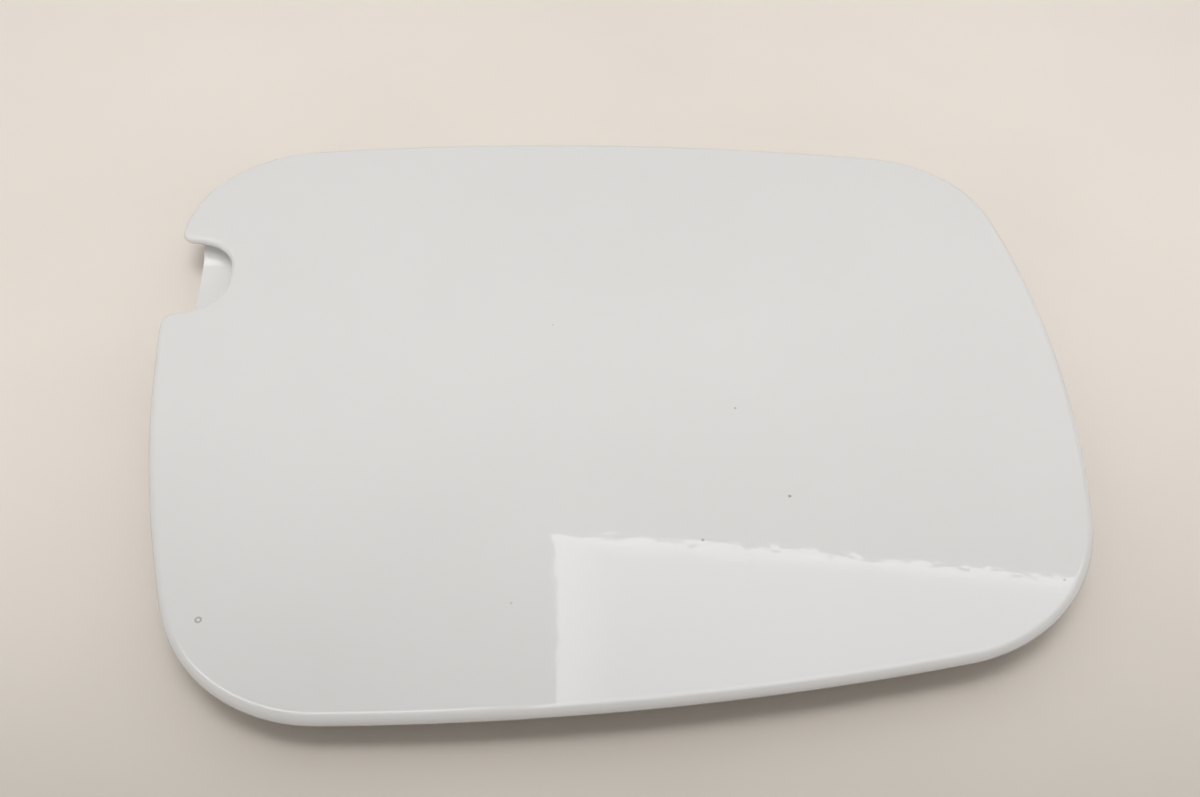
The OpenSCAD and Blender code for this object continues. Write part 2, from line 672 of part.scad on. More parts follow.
module hinge_bracket() {
    color(steel)
        difference() {
            union() {
                // Foot with two rounded corners
                difference() {
                    translate([pin_x - foot_len, pin_y - foot_half, 0])
                        cube([foot_len + foot_right, 2 * foot_half, bracket_foot_t]);
                    for (s = [-1, 1])
                        translate([pin_x - foot_len, pin_y + s * foot_half, -1])
                            cube([2 * foot_round, 2 * foot_round, 2 * bracket_foot_t + 2],
                                center = true);
                }
                for (s = [-1, 1])
                    translate([pin_x - foot_len + foot_round,
                        pin_y + s * (foot_half - foot_round), 0])
                        cylinder(r = foot_round, h = bracket_foot_t);
                bracket_ear(1);
                bracket_ear(-1);
                // Pressed rib that stiffens the foot between the screws
                translate([pin_x - foot_len + 4, pin_y, bracket_foot_t])
                    rib(foot_len - 18);
                spring_bridge();
            }
            on_pin(pin_r + press_fit, pin_y - foot_half - 1, pin_y + foot_half + 1);
            for (p = screw_places)
                translate([p.x, p.y, -1])
                    cylinder(d = screw_d, h = bracket_foot_t + 2);
        }
}

// Bridge pressed up from the foot, which holds the spring's lower leg down
bridge_l = 2.2;
bridge_t = 0.7;
// Rise of the leg on its way through the bridge
leg_rise = 0.4;

module spring_bridge() {
    slot_w = wire_d + 2 * wire_fit;
    slot_h = slot_w + leg_rise;
    translate([pin_x + foot_leg_x + 0.8, pin_y - coil_rise / 2, bracket_foot_t])
        difference() {
            translate([0, -slot_w / 2 - bridge_t, -eps])
                cube([bridge_l, slot_w + 2 * bridge_t, slot_h + bridge_t + eps]);
            translate([-1, -slot_w / 2, 0])
                cube([bridge_l + 2, slot_w, slot_h]);
        }
}

rib_w = 5;
rib_h = 1.2;

module rib(length) {
    rotate([90, 0, 90])
        linear_extrude(length)
            polygon([[-rib_w / 2, -eps], [rib_w / 2, -eps], [rib_w / 4, rib_h],
                [-rib_w / 4, rib_h]]);
}

// Hinge pin with a domed head at its upper end and a clip groove at its lower end
pin_head_r = 3;
pin_head_t = 1.4;
clip_t = 0.7;
clip_fit = 0.15;
groove_depth = 0.45;
pin_tail = 1;

module hinge_pin() {
    reach = foot_half + 2 * clip_fit + clip_t;
    color(steel)
        translate([pin_x, pin_y, pin_z])
            rotate([90, 0, 0])
                rotate_extrude()
                    polygon([[0, -foot_half - pin_head_t],
                        [pin_head_r * 0.6, -foot_half - pin_head_t],
                        [pin_head_r, -foot_half - pin_head_t * 0.5],
                        [pin_head_r, -foot_half], [pin_r, -foot_half],
                        [pin_r, foot_half + clip_fit], [pin_r - groove_depth, foot_half + clip_fit],
                        [pin_r - groove_depth, reach + clip_fit], [pin_r, reach + clip_fit],
                        [pin_r, reach + clip_fit + pin_tail - 0.4],
                        [pin_r - 0.4, reach + clip_fit + pin_tail],
                        [0, reach + clip_fit + pin_tail]]);
}

clip_r = 3.1;

module pin_clip() {
    y = pin_y - foot_half - 2 * clip_fit;
    color(steel)
        difference() {
            on_pin(clip_r, y - clip_t, y);
            on_pin(pin_r - groove_depth + 0.05, y - clip_t - 1, y + 1);
            // Open mouth of the clip, as wide as the groove's core
            translate([pin_x - (pin_r - groove_depth), y - clip_t - 1, pin_z - clip_r - 1])
                cube([2 * (pin_r - groove_depth), clip_t + 2, clip_r + 1]);
        }
}

// Hinge spring
// Foot leg, coils from the lower to the upper end, then the leg that hooks into the leaf's ear
foot_leg_x = -12;
foot_leg_z = bracket_foot_t + wire_d / 2 + wire_fit - pin_z;
leaf_leg = [hook_x - pin_x, hook_z - pin_z];
bend_r = 1.2;
steps_per_turn = 12;
wire_sides = 6;
// Angles at which the legs leave the coil as tangents
foot_leg_angle = angle_of([foot_leg_x, foot_leg_z]) + acos(coil_r / norm([foot_leg_x, foot_leg_z]));
leaf_leg_angle = angle_of(leaf_leg) - acos(coil_r / norm(leaf_leg));
coil_turn = 360 * (coils - 1) + (leaf_leg_angle - foot_leg_angle + 720) % 360;
coil_steps = ceil(coil_turn / 360 * steps_per_turn);
coil_rise = coil_turn / 360 * (wire_d + coil_gap);
leaf_leg_run = leaf_leg - coil_r * unit(leaf_leg_angle);
leaf_leg_dir = leaf_leg_run / norm(leaf_leg_run);
leg_normal = [leaf_leg_dir.y, 0, -leaf_leg_dir.x];
// Points at bend_r from the bend's centre, from the leg's line to the line along Y
bend = [for (a = [0:30:90]) let(p = leaf_leg - bend_r * (1 - sin(a)) * leaf_leg_dir)
    [p.x, coil_rise / 2 + bend_r * (1 - cos(a)), p.y]];
spring_path = concat(
    [[foot_leg_x, -coil_rise / 2, foot_leg_z]],
    [for (i = [0:coil_steps])
        let(a = foot_leg_angle + coil_turn * i / coil_steps)
        [coil_r * cos(a), coil_rise * (i / coil_steps - 0.5), coil_r * sin(a)]],
    bend,
    [[leaf_leg.x, leaf_ear_out - wire_fit, leaf_leg.y]]);

function path_dir(p, i) = let(n = len(p), v = p[min(n - 1, i + 1)] - p[max(0, i - 1)]) v / norm(v);

module hinge_spring() {
    n = len(spring_path);
    points = [for (i = [0:n - 1])
        let(t = path_dir(spring_path, i), side = cross([0, 1, 0], t),
            b = norm(side) > eps ? side / norm(side) : leg_normal, c = cross(t, b))
        each [for (j = [0:wire_sides - 1]) let(a = 360 * j / wire_sides)
            spring_path[i] + wire_d / 2 * (b * cos(a) + c * sin(a))]];
    faces = concat(
        [for (i = [0:n - 2], j = [0:wire_sides - 1])
            let(a = i * wire_sides + j, b = i * wire_sides + (j + 1) % wire_sides)
            each [[a, a + wire_sides, b + wire_sides], [a, b + wire_sides, b]]],
        [[for (j = [0:wire_sides - 1]) j]],
        [[for (j = [wire_sides - 1:-1:0]) (n - 1) * wire_sides + j]]);
    color(steel)
        translate([pin_x, pin_y, pin_z])
            polyhedron(points = points, faces = faces, convexity = 8);
}

// Sleeve that keeps the spring off the pin
sleeve_wall = 0.3;

module spring_sleeve() {
    color("#e8e6df")
        difference() {
            on_pin(pin_r + bush_fit + sleeve_wall, pin_y - spring_half - 2, pin_y + spring_half + 2);
            on_pin(pin_r + bush_fit, pin_y - spring_half - 3, pin_y + spring_half + 3);
        }
}

// Rubber pad on the foot, under each of the leaf's two lugs
pad_w = 3.4;

module stop_pad() {
    color(rubber)
        for (s = [-1, 1])
            translate([pin_x + foot_right - pad_w, pin_y + s * (leaf_ear_in + leaf_ear_out) / 2 - 1.5,
                bracket_foot_t])
                cube([pad_w, 3, stop_pad_t]);
}

// Catch
catch_x = catch_inset - door_w / 2;
catch_t = leaf_t;
catch_base_l = 18;
catch_ear_w = 11;
catch_rivet_x = catch_x + 7;
catch_rivet_places = [for (s = [-1, 1]) [catch_rivet_x, catch_y + s * catch_w / 4]];

module catch_plate() {
    ear_bottom = catch_eye_z - catch_eye_d / 2 - 1;
    color(steel)
        difference() {
            union() {
                translate([catch_x - catch_t / 2, catch_y - catch_w / 2, leaf_z])
                    cube([catch_base_l, catch_w, catch_t]);
                translate([catch_x - catch_t / 2, catch_y - catch_ear_w / 2, catch_eye_z])
                    cube([catch_t, catch_ear_w, leaf_z - catch_eye_z + eps]);
                translate([catch_x - catch_t / 2, catch_y, catch_eye_z])
                    rotate([0, 90, 0])
                        cylinder(r = catch_eye_z - ear_bottom, h = catch_t);
            }
            translate([catch_x - catch_t, catch_y, catch_eye_z])
                rotate([0, 90, 0])
                    cylinder(d = catch_eye_d, h = 2 * catch_t);
            for (p = catch_rivet_places)
                translate([p.x, p.y, leaf_z - 1])
                    cylinder(d = rivet_d + rivet_fit, h = catch_t + 2);
        }
}

module catch_rivets() {
    color(steel)
        for (p = catch_rivet_places)
            translate([p.x, p.y, 0])
                rivet(leaf_z, pan_top);
}

// Rubber buffer with a neck through the pan and a barb above it
buffer_x = buffer_inset - door_w / 2;
upper_buffer_y = door_h / 2 - upper_buffer_inset;
lower_buffer_y = lower_buffer_inset - door_h / 2;
buffer_neck_d = 6;

module buffer(y) {
    color(rubber)
        translate([buffer_x, y, 0])
            rotate_extrude()
                polygon([[0, 0], [buffer_d / 2 - 2, 0], [buffer_d / 2 - 0.6, 0.6],
                    [buffer_d / 2, 2], [buffer_d / 2 - 0.4, pan_z], [buffer_neck_d / 2, pan_z],
                    [buffer_neck_d / 2, pan_top], [buffer_neck_d / 2 + 1.1, pan_top + 0.5],
                    [buffer_neck_d / 2 - 1, pan_top + 3], [0, pan_top + 3]]);
}

module upper_buffer() {
    buffer(upper_buffer_y);
}

module lower_buffer() {
    buffer(lower_buffer_y);
}

// Cap hanger: a moulded base under the plateau and two lipped rails
hanger_x = 4;
hanger_y = -10;
hanger_wall = 2;
hanger_base_t = 1.8;
hanger_z = plateau_top - panel_t;
hanger_drop = 9;
hanger_lip = 1.6;
peg_d = 5;
hanger_pegs = [hanger_y - hanger_len / 3, hanger_y + hanger_len / 3];

module hanger_rail(side) {
    slab(hanger_y - hanger_len / 2, hanger_y + hanger_len / 2)
        translate([hanger_x, hanger_z])
            polygon([for (p = [[hanger_slot / 2 + hanger_wall, 0],
                    [hanger_slot / 2 + hanger_wall, -hanger_drop],
                    [hanger_slot / 2 - hanger_lip, -hanger_drop],
                    [hanger_slot / 2 - hanger_lip, -hanger_drop + 0.8],
                    [hanger_slot / 2, -hanger_drop + 2.4], [hanger_slot / 2, 0]])
                [side * p.x, p.y]]);
}

module cap_hanger() {
    color(plastic) {
        translate([hanger_x - hanger_slot / 2 - hanger_wall, hanger_y - hanger_len / 2,
            hanger_z - hanger_base_t])
            cube([hanger_slot + 2 * hanger_wall, hanger_len, hanger_base_t]);
        hanger_rail(1);
        hanger_rail(-1);
        for (y = hanger_pegs)
            translate([hanger_x, y, hanger_z - eps])
                cylinder(d = peg_d, h = panel_t + 1.2);
    }
}

outer_skin();
finger_cup();
inner_panel();
hem_sealer();
mastic_pads();
hinge_leaf();
hinge_doubler();
leaf_rivets();
upper_bush();
lower_bush();
hinge_bracket();
hinge_pin();
pin_clip();
hinge_spring();
spring_sleeve();
stop_pad();
catch_plate();
catch_rivets();
upper_buffer();
lower_buffer();
cap_hanger();
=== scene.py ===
"""Car fuel door: a crowned, hemmed steel panel with a finger notch in its latch edge,
lying painted side up. Under it are its pressed inner panel and the spring hinge.
Sizes are in millimetres and become metres in the meshes, in the CAD model's own frame."""
import math
import bmesh
import bpy
import numpy as np
from mathutils import Matrix, Vector


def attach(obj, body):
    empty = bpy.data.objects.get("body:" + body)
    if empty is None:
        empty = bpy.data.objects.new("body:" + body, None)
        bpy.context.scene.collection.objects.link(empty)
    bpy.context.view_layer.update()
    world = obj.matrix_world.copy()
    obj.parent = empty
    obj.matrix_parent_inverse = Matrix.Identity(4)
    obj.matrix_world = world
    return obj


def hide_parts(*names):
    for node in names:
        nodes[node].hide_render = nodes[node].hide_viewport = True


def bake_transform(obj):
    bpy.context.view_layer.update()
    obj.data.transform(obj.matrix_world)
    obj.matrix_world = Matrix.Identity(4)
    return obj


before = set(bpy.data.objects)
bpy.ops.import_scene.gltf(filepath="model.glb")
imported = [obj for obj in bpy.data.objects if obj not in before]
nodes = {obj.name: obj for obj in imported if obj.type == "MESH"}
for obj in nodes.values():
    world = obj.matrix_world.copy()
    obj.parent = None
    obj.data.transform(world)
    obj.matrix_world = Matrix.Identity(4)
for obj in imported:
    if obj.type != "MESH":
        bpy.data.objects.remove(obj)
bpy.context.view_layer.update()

MM = 0.001

# Camera
# The photograph looks down on the door from its lower edge with a 50 mm lens.
LENS = 50.0
SENSOR = 36.0
CAMERA_ELEVATION = math.radians(47.5)
CAMERA_DISTANCE = 356.4
CAMERA_TARGET = np.array([-0.9, 6.9, 1.0])

camera_data = bpy.data.cameras.new("photo_camera")
camera_data.lens = LENS
camera_data.sensor_width = SENSOR
camera_data.clip_start = 0.01
camera = bpy.data.objects.new("photo_camera", camera_data)
away = np.array([0.0, -math.cos(CAMERA_ELEVATION), math.sin(CAMERA_ELEVATION)])
camera.location = Vector((CAMERA_TARGET + CAMERA_DISTANCE * away) * MM)
camera.rotation_euler = (math.pi / 2 - CAMERA_ELEVATION, 0.0, 0.0)
bpy.context.scene.collection.objects.link(camera)
bpy.context.scene.camera = camera
bpy.context.scene.view_settings.view_transform = "Standard"


# Table
# A plain cream laminate table top, with a faint unevenness in its colour.
def linear(hex_colour):
    """sRGB hex as linear RGBA: c / 12.92 below 0.04045, else ((c + 0.055) / 1.055) ^ 2.4."""
    srgb = [int(hex_colour[i:i + 2], 16) / 255 for i in (1, 3, 5)]
    return tuple(c / 12.92 if c <= 0.04045 else ((c + 0.055) / 1.055) ** 2.4
                 for c in srgb) + (1.0,)


def add_node(tree, kind, settings=(), **links):
    """A node of that kind. settings are (name, value) pairs: a property of the node if it
    has one, else the input socket of that name or number. links go from an output socket
    to the input socket of that name, or of the number after its underscore."""
    node = tree.nodes.new(kind)
    for name, value in dict(settings).items():
        if isinstance(name, str) and hasattr(node, name):
            setattr(node, name, value)
        else:
            node.inputs[name].default_value = value
    for name, source in links.items():
        key = int(name[1:]) if name[1:].isdigit() else name.replace("_", " ")
        tree.links.new(source, node.inputs[key])
    return node


def mottled_finish(name, first, second, patch_mm, low=0.3, high=0.7, detail=3.0,
                   broken=0.5, sheen=None, **values):
    """A material with one Principled shader and its constant sockets set. Its colour drifts
    from the first tone to the second where a noise with patches about patch_mm across goes
    from low to high, and its roughness through the range sheen if there is one. broken is
    the weight of the noise's fine detail. Returns (material, node tree, shader, object
    coordinates in millimetres)."""
    material = bpy.data.materials.new(name)
    material.use_nodes = True
    tree = material.node_tree
    shader = tree.nodes["Principled BSDF"]
    for socket, value in values.items():
        shader.inputs[socket.replace("_", " ")].default_value = value
    place = add_node(tree, "ShaderNodeVectorMath", {"operation": "SCALE", "Scale": 1 / MM},
                     Vector=add_node(tree, "ShaderNodeTexCoord").outputs["Object"]
                     ).outputs["Vector"]
    patches = add_node(tree, "ShaderNodeTexNoise",
                       {"Scale": 1 / patch_mm, "Detail": detail, "Roughness": broken},
                       Vector=place)
    share = add_node(tree, "ShaderNodeMapRange", {"From Min": low, "From Max": high},
                     Value=patches.outputs["Fac"]).outputs["Result"]
    tone = add_node(tree, "ShaderNodeMix",
                    {"data_type": "RGBA", 6: linear(first), 7: linear(second)}, Factor=share)
    tree.links.new(tone.outputs[2], shader.inputs["Base Color"])
    if sheen:
        dulled = add_node(tree, "ShaderNodeMapRange", {"To Min": sheen[0], "To Max": sheen[1]},
                          Value=share)
        tree.links.new(dulled.outputs["Result"], shader.inputs["Roughness"])
    return material, tree, shader, place


# Pressed laminate is matt, so it shows no reflections, only a warm tone that hardly varies.
TABLE_HALF = 1500.0
laminate = mottled_finish(
    "cream_laminate", "#E2DAD1", "#DED6CD", 90.0, 0.35, 0.65, Roughness=0.55)[0]
corners = np.array([[-1, -1, 0], [1, -1, 0], [1, 1, 0], [-1, 1, 0]]) * TABLE_HALF * MM
table_mesh = bpy.data.meshes.new("table_top")
table_mesh.from_pydata(corners.tolist(), [], [(0, 1, 2, 3)])
table_mesh.materials.append(laminate)
table_top = bpy.data.objects.new("table_top", table_mesh)
bpy.context.scene.collection.objects.link(table_top)


# Light
# Soft room light, a large soft key over the door, and two ceiling lights that only its
# gloss shows: a panel with two brighter edges, and a strip along the rolled lower edge.
def area_light(name, place_mm, size_mm, radiance):
    """Rectangular lamp of that size at place_mm, facing straight down. Its power is
    radiance * pi * area, so that a mirror would show it at that brightness."""
    data = bpy.data.lights.new(name, "AREA")
    data.shape = "RECTANGLE"
    data.size, data.size_y = size_mm[0] * MM, size_mm[1] * MM
    data.energy = radiance * math.pi * data.size * data.size_y
    lamp = bpy.data.objects.new(name, data)
    lamp.location = Vector(place_mm) * MM
    bpy.context.scene.collection.objects.link(lamp)
    return lamp


ROOM_LIGHT = 0.5
world = bpy.data.worlds.new("soft_room")
world.use_nodes = True
world.node_tree.nodes["Background"].inputs["Color"].default_value = linear("#FFFDFA")
world.node_tree.nodes["Background"].inputs["Strength"].default_value = ROOM_LIGHT
bpy.context.scene.world = world

# The key shines down and a little towards the upper edge, so that light reaches under the
# lower edge. Its narrow spread keeps shadows short and lets the light fall off outwards. Its
# own image in the gloss would lie outside the door, so it is left out of reflections.
KEY_PLACE, KEY_SIZE, KEY_RADIANCE = (0, -5, 380), (620, 330), 0.57
KEY_LEAN, KEY_SPREAD = math.radians(15), math.radians(40)
key = area_light("key", KEY_PLACE, KEY_SIZE, KEY_RADIANCE)
key.data.spread = KEY_SPREAD
key.rotation_euler = (KEY_LEAN, 0.0, 0.0)
key.visible_glossy = False

CEILING = 1000.0
PANEL_LEFT, PANEL_BACK = -50.0, 570.0
PANEL_SIZE, PANEL_RADIANCE = 1100.0, 1.55
PANEL_TURN = math.radians(-5.2)
# The left edge runs nearly along Y, so it is slanted within the turned panel
LEFT_SLANT = math.tan(math.radians(6.6))
LEFT_BAND, LEFT_GAIN = 60.0, 0.75
BACK_BAND, BACK_GAIN = 32.0, 1.25
panel_light = area_light("ceiling_panel", (PANEL_LEFT + PANEL_SIZE / 2,
                                           PANEL_BACK - PANEL_SIZE / 2, CEILING),
                         (PANEL_SIZE, PANEL_SIZE), PANEL_RADIANCE)
panel_light.visible_diffuse = False
corner = Vector((PANEL_LEFT, PANEL_BACK, CEILING)) * MM
turned = Matrix.Rotation(PANEL_TURN, 3, "Z")
panel_light.location = corner + turned @ (panel_light.location - corner)
panel_light.rotation_euler = (0.0, 0.0, PANEL_TURN)
panel_light.data.use_nodes = True
tree = panel_light.data.node_tree
across = add_node(tree, "ShaderNodeSeparateXYZ",
                  Vector=add_node(tree, "ShaderNodeNewGeometry").outputs["Parametric"])
from_back = add_node(tree, "ShaderNodeMapRange",
                     {"From Min": 1.0, "From Max": 0.0, "To Max": PANEL_SIZE},
                     Value=across.outputs["Y"]).outputs["Result"]
slant = add_node(tree, "ShaderNodeMath", {"operation": "MULTIPLY", 1: -LEFT_SLANT}, _0=from_back)
from_left = add_node(tree, "ShaderNodeMath", {"operation": "MULTIPLY_ADD", 1: PANEL_SIZE},
                     _0=across.outputs["X"], _2=slant.outputs["Value"]).outputs["Value"]
bands = [add_node(tree, "ShaderNodeMapRange",
                  {"From Max": width, "To Min": gain, "To Max": 0.0}, Value=run).outputs["Result"]
         for run, width, gain in ((from_left, LEFT_BAND, LEFT_GAIN),
                                  (from_back, BACK_BAND, BACK_GAIN))]
brighter = add_node(tree, "ShaderNodeMath", {"operation": "MAXIMUM"}, _0=bands[0], _1=bands[1])
level = add_node(tree, "ShaderNodeMath", {"operation": "ADD", 1: 1.0},
                 _0=brighter.outputs["Value"])
edge = add_node(tree, "ShaderNodeMapRange", {"From Min": -1.0, "From Max": 1.0}, Value=from_left)
lit = add_node(tree, "ShaderNodeMath", {"operation": "MULTIPLY"}, _0=level.outputs["Value"],
               _1=edge.outputs["Result"])
tree.links.new(lit.outputs["Value"], tree.nodes["Emission"].inputs["Strength"])

STRIP_PLACE, STRIP_SIZE, STRIP_RADIANCE = (-350, 60, CEILING), (1300, 260), 3.0
strip = area_light("ceiling_strip", STRIP_PLACE, STRIP_SIZE, STRIP_RADIANCE)
strip.visible_diffuse = False


# Outer skin
# One sheet of 0.8 mm steel, pressed to a shallow crown, hemmed over the inner panel all
# round, and sprayed with a pale grey-white enamel under clear coat.
DOOR_W, DOOR_H = 190.0, 158.0
CROWN_Z, CROWN_DROP_X, CROWN_DROP_Y = 16.4, 2.5, 4.0
HINGE_EDGE_R, HINGE_EDGE_Y = 268.0, -9.5
UPPER_EDGE_R, UPPER_EDGE_X = 834.0, -22.0
LATCH_EDGE_R, LATCH_EDGE_Y = 328.0, 36.0
LOWER_EDGE_R, LOWER_EDGE_X = 505.0, -46.0
CORNER_UPPER_HINGE, CORNER_UPPER_LATCH = 28.5, 28.5
CORNER_LOWER_LATCH, CORNER_LOWER_HINGE = 33.0, 36.0
NOTCH_Y, NOTCH_DEPTH, NOTCH_FLOOR_R = 32.0, 13.3, 36.0
NOTCH_FLOOR_ANGLE = math.radians(4.5)
NOTCH_UPPER_R, NOTCH_LOWER_R, NOTCH_TIP_R = 10.5, 9.5, 3.2
NOTCH_UPPER_FLARE, NOTCH_LOWER_FLARE = math.radians(11.5), math.radians(4.0)
SKIN_T, ROLL_R, HEM_W = 0.8, 1.7, 7.0
FOLD_R = SKIN_T + 0.2
PANEL_T, BOND_T = 0.7, 0.1


def unit(angle):
    """Direction at that angle: (cos, sin)."""
    return np.stack([np.cos(angle), np.sin(angle)], -1)


def angle_of(v):
    """Angle of a direction, counterclockwise from +X."""
    return math.atan2(v[1], v[0])


def meet(a, ra, b, rb):
    """Meeting point of two circles, on the left of the line from a to b."""
    d = math.dist(a, b)
    u = (b - a) / d
    run = (ra * ra - rb * rb + d * d) / (2 * d)
    return a + u * run + np.array([-u[1], u[0]]) * math.sqrt(ra * ra - run * run)


def line_meet(p, d, c, r):
    """Point where a line from p along d leaves the circle that p is inside."""
    q = p - c
    b = q @ d
    return p + d * (math.sqrt(b * b - q @ q + r * r) - b)


# Names in _c are the centres of arcs: of the four edges, of the corners between them, and
# of the notch's floor, its upper and lower rounding and its two tips.
hinge_c = np.array([DOOR_W / 2 - HINGE_EDGE_R, HINGE_EDGE_Y])
upper_c = np.array([UPPER_EDGE_X, DOOR_H / 2 - UPPER_EDGE_R])
latch_c = np.array([LATCH_EDGE_R - DOOR_W / 2, LATCH_EDGE_Y])
lower_c = np.array([LOWER_EDGE_X, LOWER_EDGE_R - DOOR_H / 2])
upper_hinge_c = meet(hinge_c, HINGE_EDGE_R - CORNER_UPPER_HINGE,
                     upper_c, UPPER_EDGE_R - CORNER_UPPER_HINGE)
upper_latch_c = meet(upper_c, UPPER_EDGE_R - CORNER_UPPER_LATCH,
                     latch_c, LATCH_EDGE_R - CORNER_UPPER_LATCH)
lower_latch_c = meet(latch_c, LATCH_EDGE_R - CORNER_LOWER_LATCH,
                     lower_c, LOWER_EDGE_R - CORNER_LOWER_LATCH)
lower_hinge_c = meet(lower_c, LOWER_EDGE_R - CORNER_LOWER_HINGE,
                     hinge_c, HINGE_EDGE_R - CORNER_LOWER_HINGE)
floor_c = np.array([NOTCH_DEPTH - DOOR_W / 2 - NOTCH_FLOOR_R, NOTCH_Y])
notch_upper_c = floor_c + (NOTCH_FLOOR_R - NOTCH_UPPER_R) * unit(NOTCH_FLOOR_ANGLE)
notch_lower_c = floor_c + (NOTCH_FLOOR_R - NOTCH_LOWER_R) * unit(-NOTCH_FLOOR_ANGLE)
notch_upper_end = math.pi / 2 - NOTCH_UPPER_FLARE
notch_lower_end = NOTCH_LOWER_FLARE - math.pi / 2
upper_tip_c = line_meet(
    notch_upper_c + (NOTCH_UPPER_R + NOTCH_TIP_R) * unit(notch_upper_end),
    unit(notch_upper_end + math.pi / 2), latch_c, LATCH_EDGE_R - NOTCH_TIP_R)
lower_tip_c = line_meet(
    notch_lower_c + (NOTCH_LOWER_R + NOTCH_TIP_R) * unit(notch_lower_end),
    unit(notch_lower_end - math.pi / 2), latch_c, LATCH_EDGE_R - NOTCH_TIP_R)
ARC_STEP = 1.4


def outline(arcs):
    """Arcs (centre, radius, start, end) as one closed line. A point of the line moved
    inwards by u is centre + (radius - turn * u) * (cos, sin) of its angle, where turn
    is 1 on an arc that turns left and -1 on one that turns right. Returns a function of u."""
    centres, radii, angles = [], [], []
    for centre, radius, start, end, left in arcs:
        if left and end < start:
            end += 2 * math.pi
        step = min(ARC_STEP, max(0.3, 0.11 * radius))
        count = max(2, math.ceil(abs(end - start) * radius / step))
        angles.append(np.linspace(start, end, count, endpoint=False))
        centres.append(np.repeat([centre], count, 0))
        radii.append(np.full(count, radius) * (1 if left else -1))
    centres, radii, angles = (np.concatenate(a) for a in (centres, radii, angles))
    # A right-turning arc has its radius stored as negative, which gives it turn -1
    return lambda u: centres + np.abs(radii - u)[:, None] * unit(angles)


right_arcs = [
    (hinge_c, HINGE_EDGE_R,
     angle_of(lower_hinge_c - hinge_c), angle_of(upper_hinge_c - hinge_c), True),
    (upper_hinge_c, CORNER_UPPER_HINGE,
     angle_of(upper_hinge_c - hinge_c), angle_of(upper_hinge_c - upper_c), True),
    (upper_c, UPPER_EDGE_R,
     angle_of(upper_hinge_c - upper_c), angle_of(upper_latch_c - upper_c), True),
    (upper_latch_c, CORNER_UPPER_LATCH,
     angle_of(upper_latch_c - upper_c), angle_of(upper_latch_c - latch_c), True)]
notch_arcs = [
    (latch_c, LATCH_EDGE_R,
     angle_of(upper_latch_c - latch_c), angle_of(upper_tip_c - latch_c), True),
    (upper_tip_c, NOTCH_TIP_R,
     angle_of(upper_tip_c - latch_c), notch_upper_end + math.pi, True),
    (notch_upper_c, NOTCH_UPPER_R, notch_upper_end, NOTCH_FLOOR_ANGLE, False),
    (floor_c, NOTCH_FLOOR_R, NOTCH_FLOOR_ANGLE, -NOTCH_FLOOR_ANGLE, False),
    (notch_lower_c, NOTCH_LOWER_R, -NOTCH_FLOOR_ANGLE, notch_lower_end, False),
    (lower_tip_c, NOTCH_TIP_R,
     notch_lower_end + math.pi, angle_of(lower_tip_c - latch_c), True),
    (latch_c, LATCH_EDGE_R,
     angle_of(lower_tip_c - latch_c), angle_of(lower_latch_c - latch_c), True)]
lower_arcs = [
    (lower_latch_c, CORNER_LOWER_LATCH,
     angle_of(lower_latch_c - latch_c), angle_of(lower_latch_c - lower_c), True),
    (lower_c, LOWER_EDGE_R,
     angle_of(lower_latch_c - lower_c), angle_of(lower_hinge_c - lower_c), True),
    (lower_hinge_c, CORNER_LOWER_HINGE,
     angle_of(lower_hinge_c - lower_c), angle_of(lower_hinge_c - hinge_c), True)]
door_line = outline(right_arcs + notch_arcs + lower_arcs)


def crown(p, drop=0.0):
    """Points of the plan as points drop below the crown:
    z = CROWN_Z - CROWN_DROP_X * (x / half width)^2 - CROWN_DROP_Y * (y / half height)^2 - drop."""
    z = (CROWN_Z - CROWN_DROP_X * (p[..., 0] / (DOOR_W / 2)) ** 2
         - CROWN_DROP_Y * (p[..., 1] / (DOOR_H / 2)) ** 2 - drop)
    return np.stack([p[..., 0], p[..., 1], z], -1)


def grid_faces(rows, columns, closed):
    """Quads of a grid of points, row by row, whose columns join up where closed."""
    j, i = np.mgrid[0:rows - 1, 0:columns if closed else columns - 1]
    k = (i + 1) % columns
    return np.stack([j * columns + i, (j + 1) * columns + i,
                     (j + 1) * columns + k, j * columns + k], -1).reshape(-1, 4)


def fan_faces(tip, first, count, closed=True):
    """Triangles from the point tip to count points that start at first."""
    i = np.arange(count if closed else count - 1)
    return np.stack([np.full_like(i, tip), first + i, first + (i + 1) % count], -1)


def make_piece(name, points, faces, material, body, replaced=(), slot=None, sharp=40.0):
    """Mesh object from points in millimetres, riding on a body. Edges sharper than
    sharp degrees stay crisp."""
    mesh = bpy.data.meshes.new(name)
    mesh.from_pydata((points * MM).tolist(), [], [f for part in faces for f in part.tolist()])
    mesh.validate()
    mesh.shade_smooth()
    mesh.set_sharp_from_angle(angle=math.radians(sharp))
    mesh.materials.append(material)
    piece = bpy.data.objects.new(name, mesh)
    bpy.context.scene.collection.objects.link(piece)
    if body:
        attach(piece, body)
    if replaced:
        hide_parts(*replaced)
    return piece


def closed_shell(rows):
    """Closed skin from rings that run out from a middle point, round an edge and back to
    a middle point. rows has the shape (rings, points, 3); its first and last ring are
    closed with a fan to their own mean."""
    rings, count = rows.shape[:2]
    points = np.concatenate([rows.reshape(-1, 3), rows[:1].mean(1), rows[-1:].mean(1)])
    last = (rings - 1) * count
    return points, [grid_faces(rings, count, True),
                    fan_faces(rings * count, 0, count),
                    fan_faces(rings * count + 1, last, count)[:, ::-1]]


